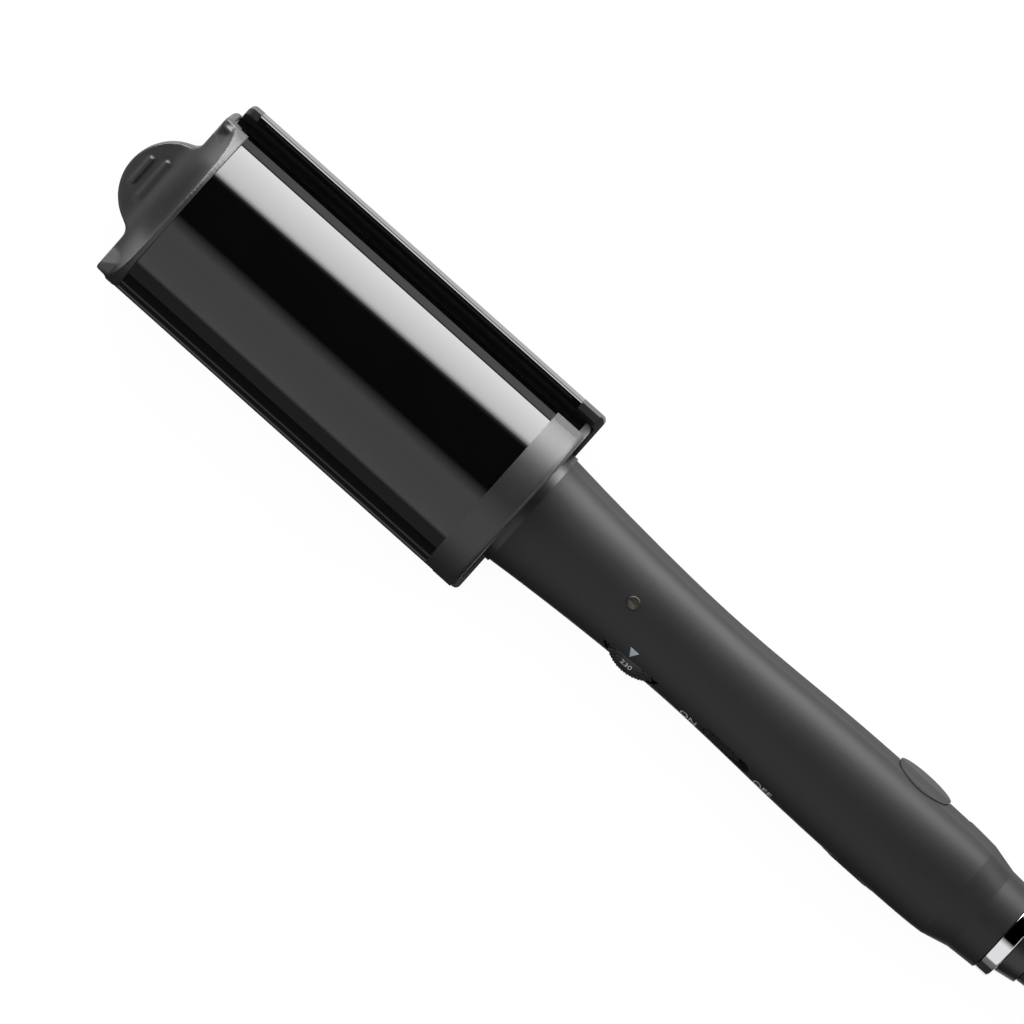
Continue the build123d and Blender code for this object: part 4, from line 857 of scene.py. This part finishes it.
# name, word, and its place along and across the handle in millimetres
switch_words = (("print_on", "ON", 136.2, -13.0), ("print_off", "OFF", 163.7, -13.4))
pointer_place = (113.5 * mm, -8.6 * mm, 40 * mm)
pointer_radius = 1.7 * mm


def ink_mesh(piece):
    """Cuts a flat print into small triangles, so that it can follow a curved surface."""
    edit_all(piece)
    bpy.ops.mesh.remove_doubles(threshold=print_weld)
    bpy.ops.mesh.quads_convert_to_tris()
    bpy.ops.mesh.subdivide(number_cuts=3)
    bpy.ops.object.mode_set(mode="OBJECT")


def on_surface(piece, target, direction):
    """Lays a flat piece on a surface, along a direction, and gives it the thickness of ink."""
    ink_mesh(piece)
    helper = add_object("ink_target", target.data)
    for vertex in piece.data.vertices:
        hit, place = helper.ray_cast(vertex.co, direction)[:2]
        if hit:
            vertex.co = place - direction * ink_lift
    bpy.data.objects.remove(helper)
    apply_modifier(piece, "SOLIDIFY", thickness=ink_thickness, offset=1.0)


def printed_text(name, words, height, centre, along, normal, target, material, body, slot, stretch=1.0):
    """Words lying on a surface, facing along the normal, and reading in the direction given."""
    start_clean()
    bpy.ops.object.text_add()
    text = bpy.context.object
    text.data.body = words
    text.data.align_x = "CENTER"
    text.data.align_y = "CENTER"
    text.data.size = height / capital_height
    text.data.resolution_u = 4
    bpy.ops.object.convert(target="MESH")
    piece = bpy.context.object
    up = normal.cross(along)
    turn = Matrix((along * stretch, up, normal)).transposed().to_4x4()
    piece.matrix_world = Matrix.Translation(centre + normal * print_start) @ turn
    apply_place(piece)
    on_surface(piece, target, -normal)
    dress(piece, name, slot, body, material)


def dial_marks():
    """Numbers of the heat settings round the dial's cone, the highest at the pointer."""
    face = bpy.data.objects["dial_wheel_moulded"]
    for number, words in enumerate(dial_numbers):
        turn = -pi / 2 - number * number_step
        outward = Vector((cos(turn), sin(turn), 0))
        normal = (outward * sin(number_slope) + Vector((0, 0, cos(number_slope)))).normalized()
        along = Vector((-outward.y, outward.x, 0))
        centre = Vector((dial_x, dial_y, number_level)) + outward * number_radius
        printed_text(
            "dial_number_" + words, words, number_height, centre, along, normal, face, white_ink, "dial",
            "dial_plastic", stretch=number_stretch,
        )


def make_pointer():
    """Small triangle beside the dial that marks the number in use."""
    start_clean()
    bpy.ops.mesh.primitive_circle_add(
        vertices=3, radius=1.0, fill_type="NGON", location=pointer_place, rotation=(0, 0, pi)
    )
    pointer = bpy.context.object
    pointer.scale = (pointer_radius, pointer_radius, 1)
    apply_place(pointer)
    on_surface(pointer, nodes["upper_handle_shell"], Vector((0, 0, -1)))
    dress(pointer, "dial_pointer", "soft_touch", "upper_arm", pale_ink)


white_ink = pad_print("white_pad_print", "#c9cccf", "#dfe2e4")
pale_ink = pad_print("pale_pad_print", "#aab6bd", "#b9c9d2")
for print_name, word, word_x, word_y in switch_words:
    printed_text(
        print_name, word, switch_word_height, Vector((word_x * mm, word_y * mm, switch_word_level)),
        Vector((1, 0, 0)), shoulder_normal, nodes["upper_handle_shell"], white_ink, "upper_arm",
        "soft_touch",
    )
dial_marks()
make_pointer()


# ================================================================ lamp
bezel_radius, bezel_thickness = 1.6 * mm, 0.36 * mm
bezel_drop = 0.17 * mm       # from the window's top down to the middle of the bezel
lens_drop = 1.2 * mm         # from the window's top down to the foot of the lens
# in millimetres: radius at the lens's foot, then each ring's radius and its rise above the last
lens_radius = 1.5
lens_rings = ((1.5, 1.1), (1.4, 0.12), (1.2, 0.1), (0.9, 0.09), (0.5, 0.06), (0.15, 0.02))


def lamp_pieces():
    """The lamp's window as a low dome, in a dark ring."""
    low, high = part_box("led_window")
    centre = Vector(((low[0] + high[0]) / 2, (low[1] + high[1]) / 2, high[2]))
    start_clean()
    bpy.ops.mesh.primitive_torus_add(
        major_segments=48, minor_segments=12, major_radius=bezel_radius, minor_radius=bezel_thickness,
        location=centre - Vector((0, 0, bezel_drop)),
    )
    ring = bpy.context.object
    apply_place(ring)
    bpy.ops.object.shade_smooth()
    dress(ring, "lamp_bezel", "collar_plastic", "upper_arm")
    start_clean()
    bpy.ops.mesh.primitive_circle_add(
        vertices=48, radius=lens_radius * mm, fill_type="NGON", location=centre - Vector((0, 0, lens_drop))
    )
    lens = bpy.context.object
    apply_place(lens)
    edit_all(lens)
    radius = lens_radius
    for new_radius, up in lens_rings:
        extrude_ring(up * mm, new_radius / radius, centre)
        radius = new_radius
    close_outwards()
    bpy.ops.object.shade_smooth_by_angle(angle=radians(50))
    dress(lens, "lamp_lens_domed", "lamp_lens", "upper_arm")
    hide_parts("led_window")


lamp_pieces()


# ================================================================ stage
card_left, card_right = -0.6, 0.9
soft_box_y, soft_box_top = 0.21, 0.45
flag_left, flag_front, flag_back, flag_z = -0.7, -0.3, 0.6, 0.6
low_card_front, grey_card_top = -0.26, 0.115
black_card_back, black_card_z = -0.032, 0.0005
black_card_glow = 0.03
# place along the card's graded axis, and how strongly it shines there
soft_box_glow = (
    (0.0, 12.8), (0.065, 12.4), (0.1, 11.9), (0.135, 11.0), (0.153, 9.5), (0.182, 0.4), (0.2, 0.0),
    (0.45, 0.0),
)
soft_box_slant = 0.3
flag_glow = ((-0.3, studio_white), (-0.19, studio_white), (-0.1, 0.5), (-0.03, 0.0), (0.6, 0.0))
grey_card_glow = ((0.0, 0.16), (0.09, 0.2), (0.115, studio_white))


def card(name, low, high, strength=1.0):
    """A flat card between two opposite corners that shines evenly, seen only in gloss."""
    corners = (low, (high[0], low[1], low[2]), high, (low[0], high[1], high[2]))
    mesh = bpy.data.meshes.new(name)
    mesh.from_pydata([Vector(c) for c in corners], [], [(0, 1, 2, 3)])
    made = add_object(name, mesh)
    material = bpy.data.materials.new(name)
    material.use_nodes = True
    tree = material.node_tree
    tree.nodes.clear()
    light = add_node(tree, "ShaderNodeEmission", {"Color": (1, 1, 1, 1), "Strength": strength})
    add_node(tree, "ShaderNodeOutputMaterial", None, {"Surface": light.outputs["Emission"]})
    mesh.materials.append(material)
    for ray in ("camera", "diffuse", "glossy", "transmission", "shadow", "volume_scatter"):
        setattr(made, "visible_" + ray, ray == "glossy")
    return made


def seen_plain(tree):
    """1 for camera, glossy and transmission rays, 0 for the light that falls on things."""
    rays = add_node(tree, "ShaderNodeLightPath")
    either = add_node(
        tree, "ShaderNodeMath", None,
        {0: rays.outputs["Is Camera Ray"], 1: rays.outputs["Is Glossy Ray"]}, operation="MAXIMUM",
    )
    return add_node(
        tree, "ShaderNodeMath", None,
        {0: either.outputs[0], 1: rays.outputs["Is Transmission Ray"]}, operation="MAXIMUM",
    ).outputs[0]


def make_world():
    """A dim studio that still looks white where it is seen or mirrored."""
    world = bpy.data.worlds.new("studio")
    bpy.context.scene.world = world
    world.use_nodes = True
    tree = world.node_tree
    background = tree.nodes["Background"]
    background.inputs["Color"].default_value = studio_tint
    level = add_node(
        tree, "ShaderNodeMapRange", {"To Min": ambient_light, "To Max": studio_white},
        {"Value": seen_plain(tree)},
    )
    tree.links.new(level.outputs["Result"], background.inputs["Strength"])


def make_floor():
    """White paper under the tool: it takes the tool's shadow and shines a little by itself."""
    start_clean()
    bpy.ops.mesh.primitive_plane_add(size=paper_size, location=(0, 0, paper_z))
    floor = bpy.context.object
    floor.name = "floor"
    material = bpy.data.materials.new("white_paper")
    material.use_nodes = True
    tree = material.node_tree
    tree.nodes.clear()
    paper = add_node(tree, "ShaderNodeBsdfDiffuse", {"Color": paper_grey})
    shine = add_node(tree, "ShaderNodeEmission", {"Color": (1, 1, 1, 1)})
    level = add_node(
        tree, "ShaderNodeMath", {1: paper_glow}, {0: seen_plain(tree)}, operation="MULTIPLY"
    )
    tree.links.new(level.outputs[0], shine.inputs["Strength"])
    both = add_node(tree, "ShaderNodeAddShader", None, {0: paper.outputs[0], 1: shine.outputs[0]})
    add_node(tree, "ShaderNodeOutputMaterial", None, {"Surface": both.outputs[0]})
    floor.data.materials.append(material)


def grade(made, axis, steps, slant=0.0):
    """Makes a card shine by its height or depth: steps are (place, strength), in metres.
    Slant moves all the steps along with x."""
    tree = made.data.materials[0].node_tree
    places = add_node(tree, "ShaderNodeSeparateXYZ", None, {"Vector": object_place(tree)})
    moved = add_node(
        tree, "ShaderNodeMath", {1: slant}, {0: places.outputs["X"], 2: places.outputs[axis]},
        operation="MULTIPLY_ADD",
    )
    first, last = steps[0][0], steps[-1][0]
    share = add_node(
        tree, "ShaderNodeMapRange", {"From Min": first, "From Max": last}, {"Value": moved.outputs[0]}
    )
    ramp = add_node(tree, "ShaderNodeValToRGB", None, {"Fac": share.outputs["Result"]})
    strongest = max(strength for _, strength in steps)
    stops = ramp.color_ramp.elements
    while len(stops) < len(steps):
        stops.new(0.5)
    for stop, (place, strength) in zip(stops, steps):
        stop.position = (place - first) / (last - first)
        stop.color = (strength / strongest,) * 3 + (1,)
    light = next(n for n in tree.nodes if n.type == "EMISSION")
    light.inputs["Strength"].default_value = strongest
    tree.links.new(ramp.outputs["Color"], light.inputs["Color"])


def make_lamp(name, place, target, size, energy):
    """A rectangular lamp that lights the tool but doesn't show in its gloss."""
    light = bpy.data.lights.new(name, "AREA")
    light.shape = "RECTANGLE"
    light.size, light.size_y = size
    light.energy = energy
    lamp = add_object(name, light)
    lamp.location = place
    lamp.rotation_euler = (Vector(target) - Vector(place)).to_track_quat("-Z", "Y").to_euler()
    lamp.visible_glossy = False


def make_camera():
    """A long lens above the tool, turned so that the tool slopes down to the right."""
    towards = Vector((sin(camera_lean[0]), sin(camera_lean[1]), 0))
    towards.z = (1 - towards.length_squared) ** 0.5
    up = Vector((-sin(tool_slope), cos(tool_slope), 0))
    right = up.cross(towards).normalized()
    up = towards.cross(right)
    data = bpy.data.cameras.new("camera")
    data.sensor_width = sensor_width
    data.lens = sensor_width * camera_distance / frame_width
    data.clip_end = camera_reach
    camera = add_object("camera", data)
    turn = Matrix((right, up, towards)).transposed().to_4x4()
    camera.matrix_world = Matrix.Translation(aim + towards * camera_distance) @ turn
    bpy.context.scene.camera = camera


make_world()
make_floor()
soft_box = card("soft_box", (card_left, soft_box_y, 0.0), (card_right, soft_box_y, soft_box_top))
grade(soft_box, "Z", soft_box_glow, soft_box_slant)
overhead_flag = card("overhead_flag", (flag_left, flag_front, flag_z), (card_right, flag_back, flag_z))
grade(overhead_flag, "Y", flag_glow)
low_grey_card = card(
    "low_grey_card", (card_left, low_card_front, 0.0), (card_right, low_card_front, grey_card_top)
)
grade(low_grey_card, "Z", grey_card_glow)
card(
    "low_black_card", (card_left, low_card_front, black_card_z), (card_right, black_card_back, black_card_z),
    black_card_glow,
)
make_lamp("side_fill", place=(0.1, 0.5, 0.45), target=(0.1, 0, 0.02), size=(1.2, 0.4), energy=2.4)
make_lamp("top_fill", place=(0.1, 0.1, 1.2), target=(0.1, 0, 0.0), size=(1.4, 1.0), energy=3.0)
make_camera()
bpy.context.scene.view_settings.view_transform = "Standard"
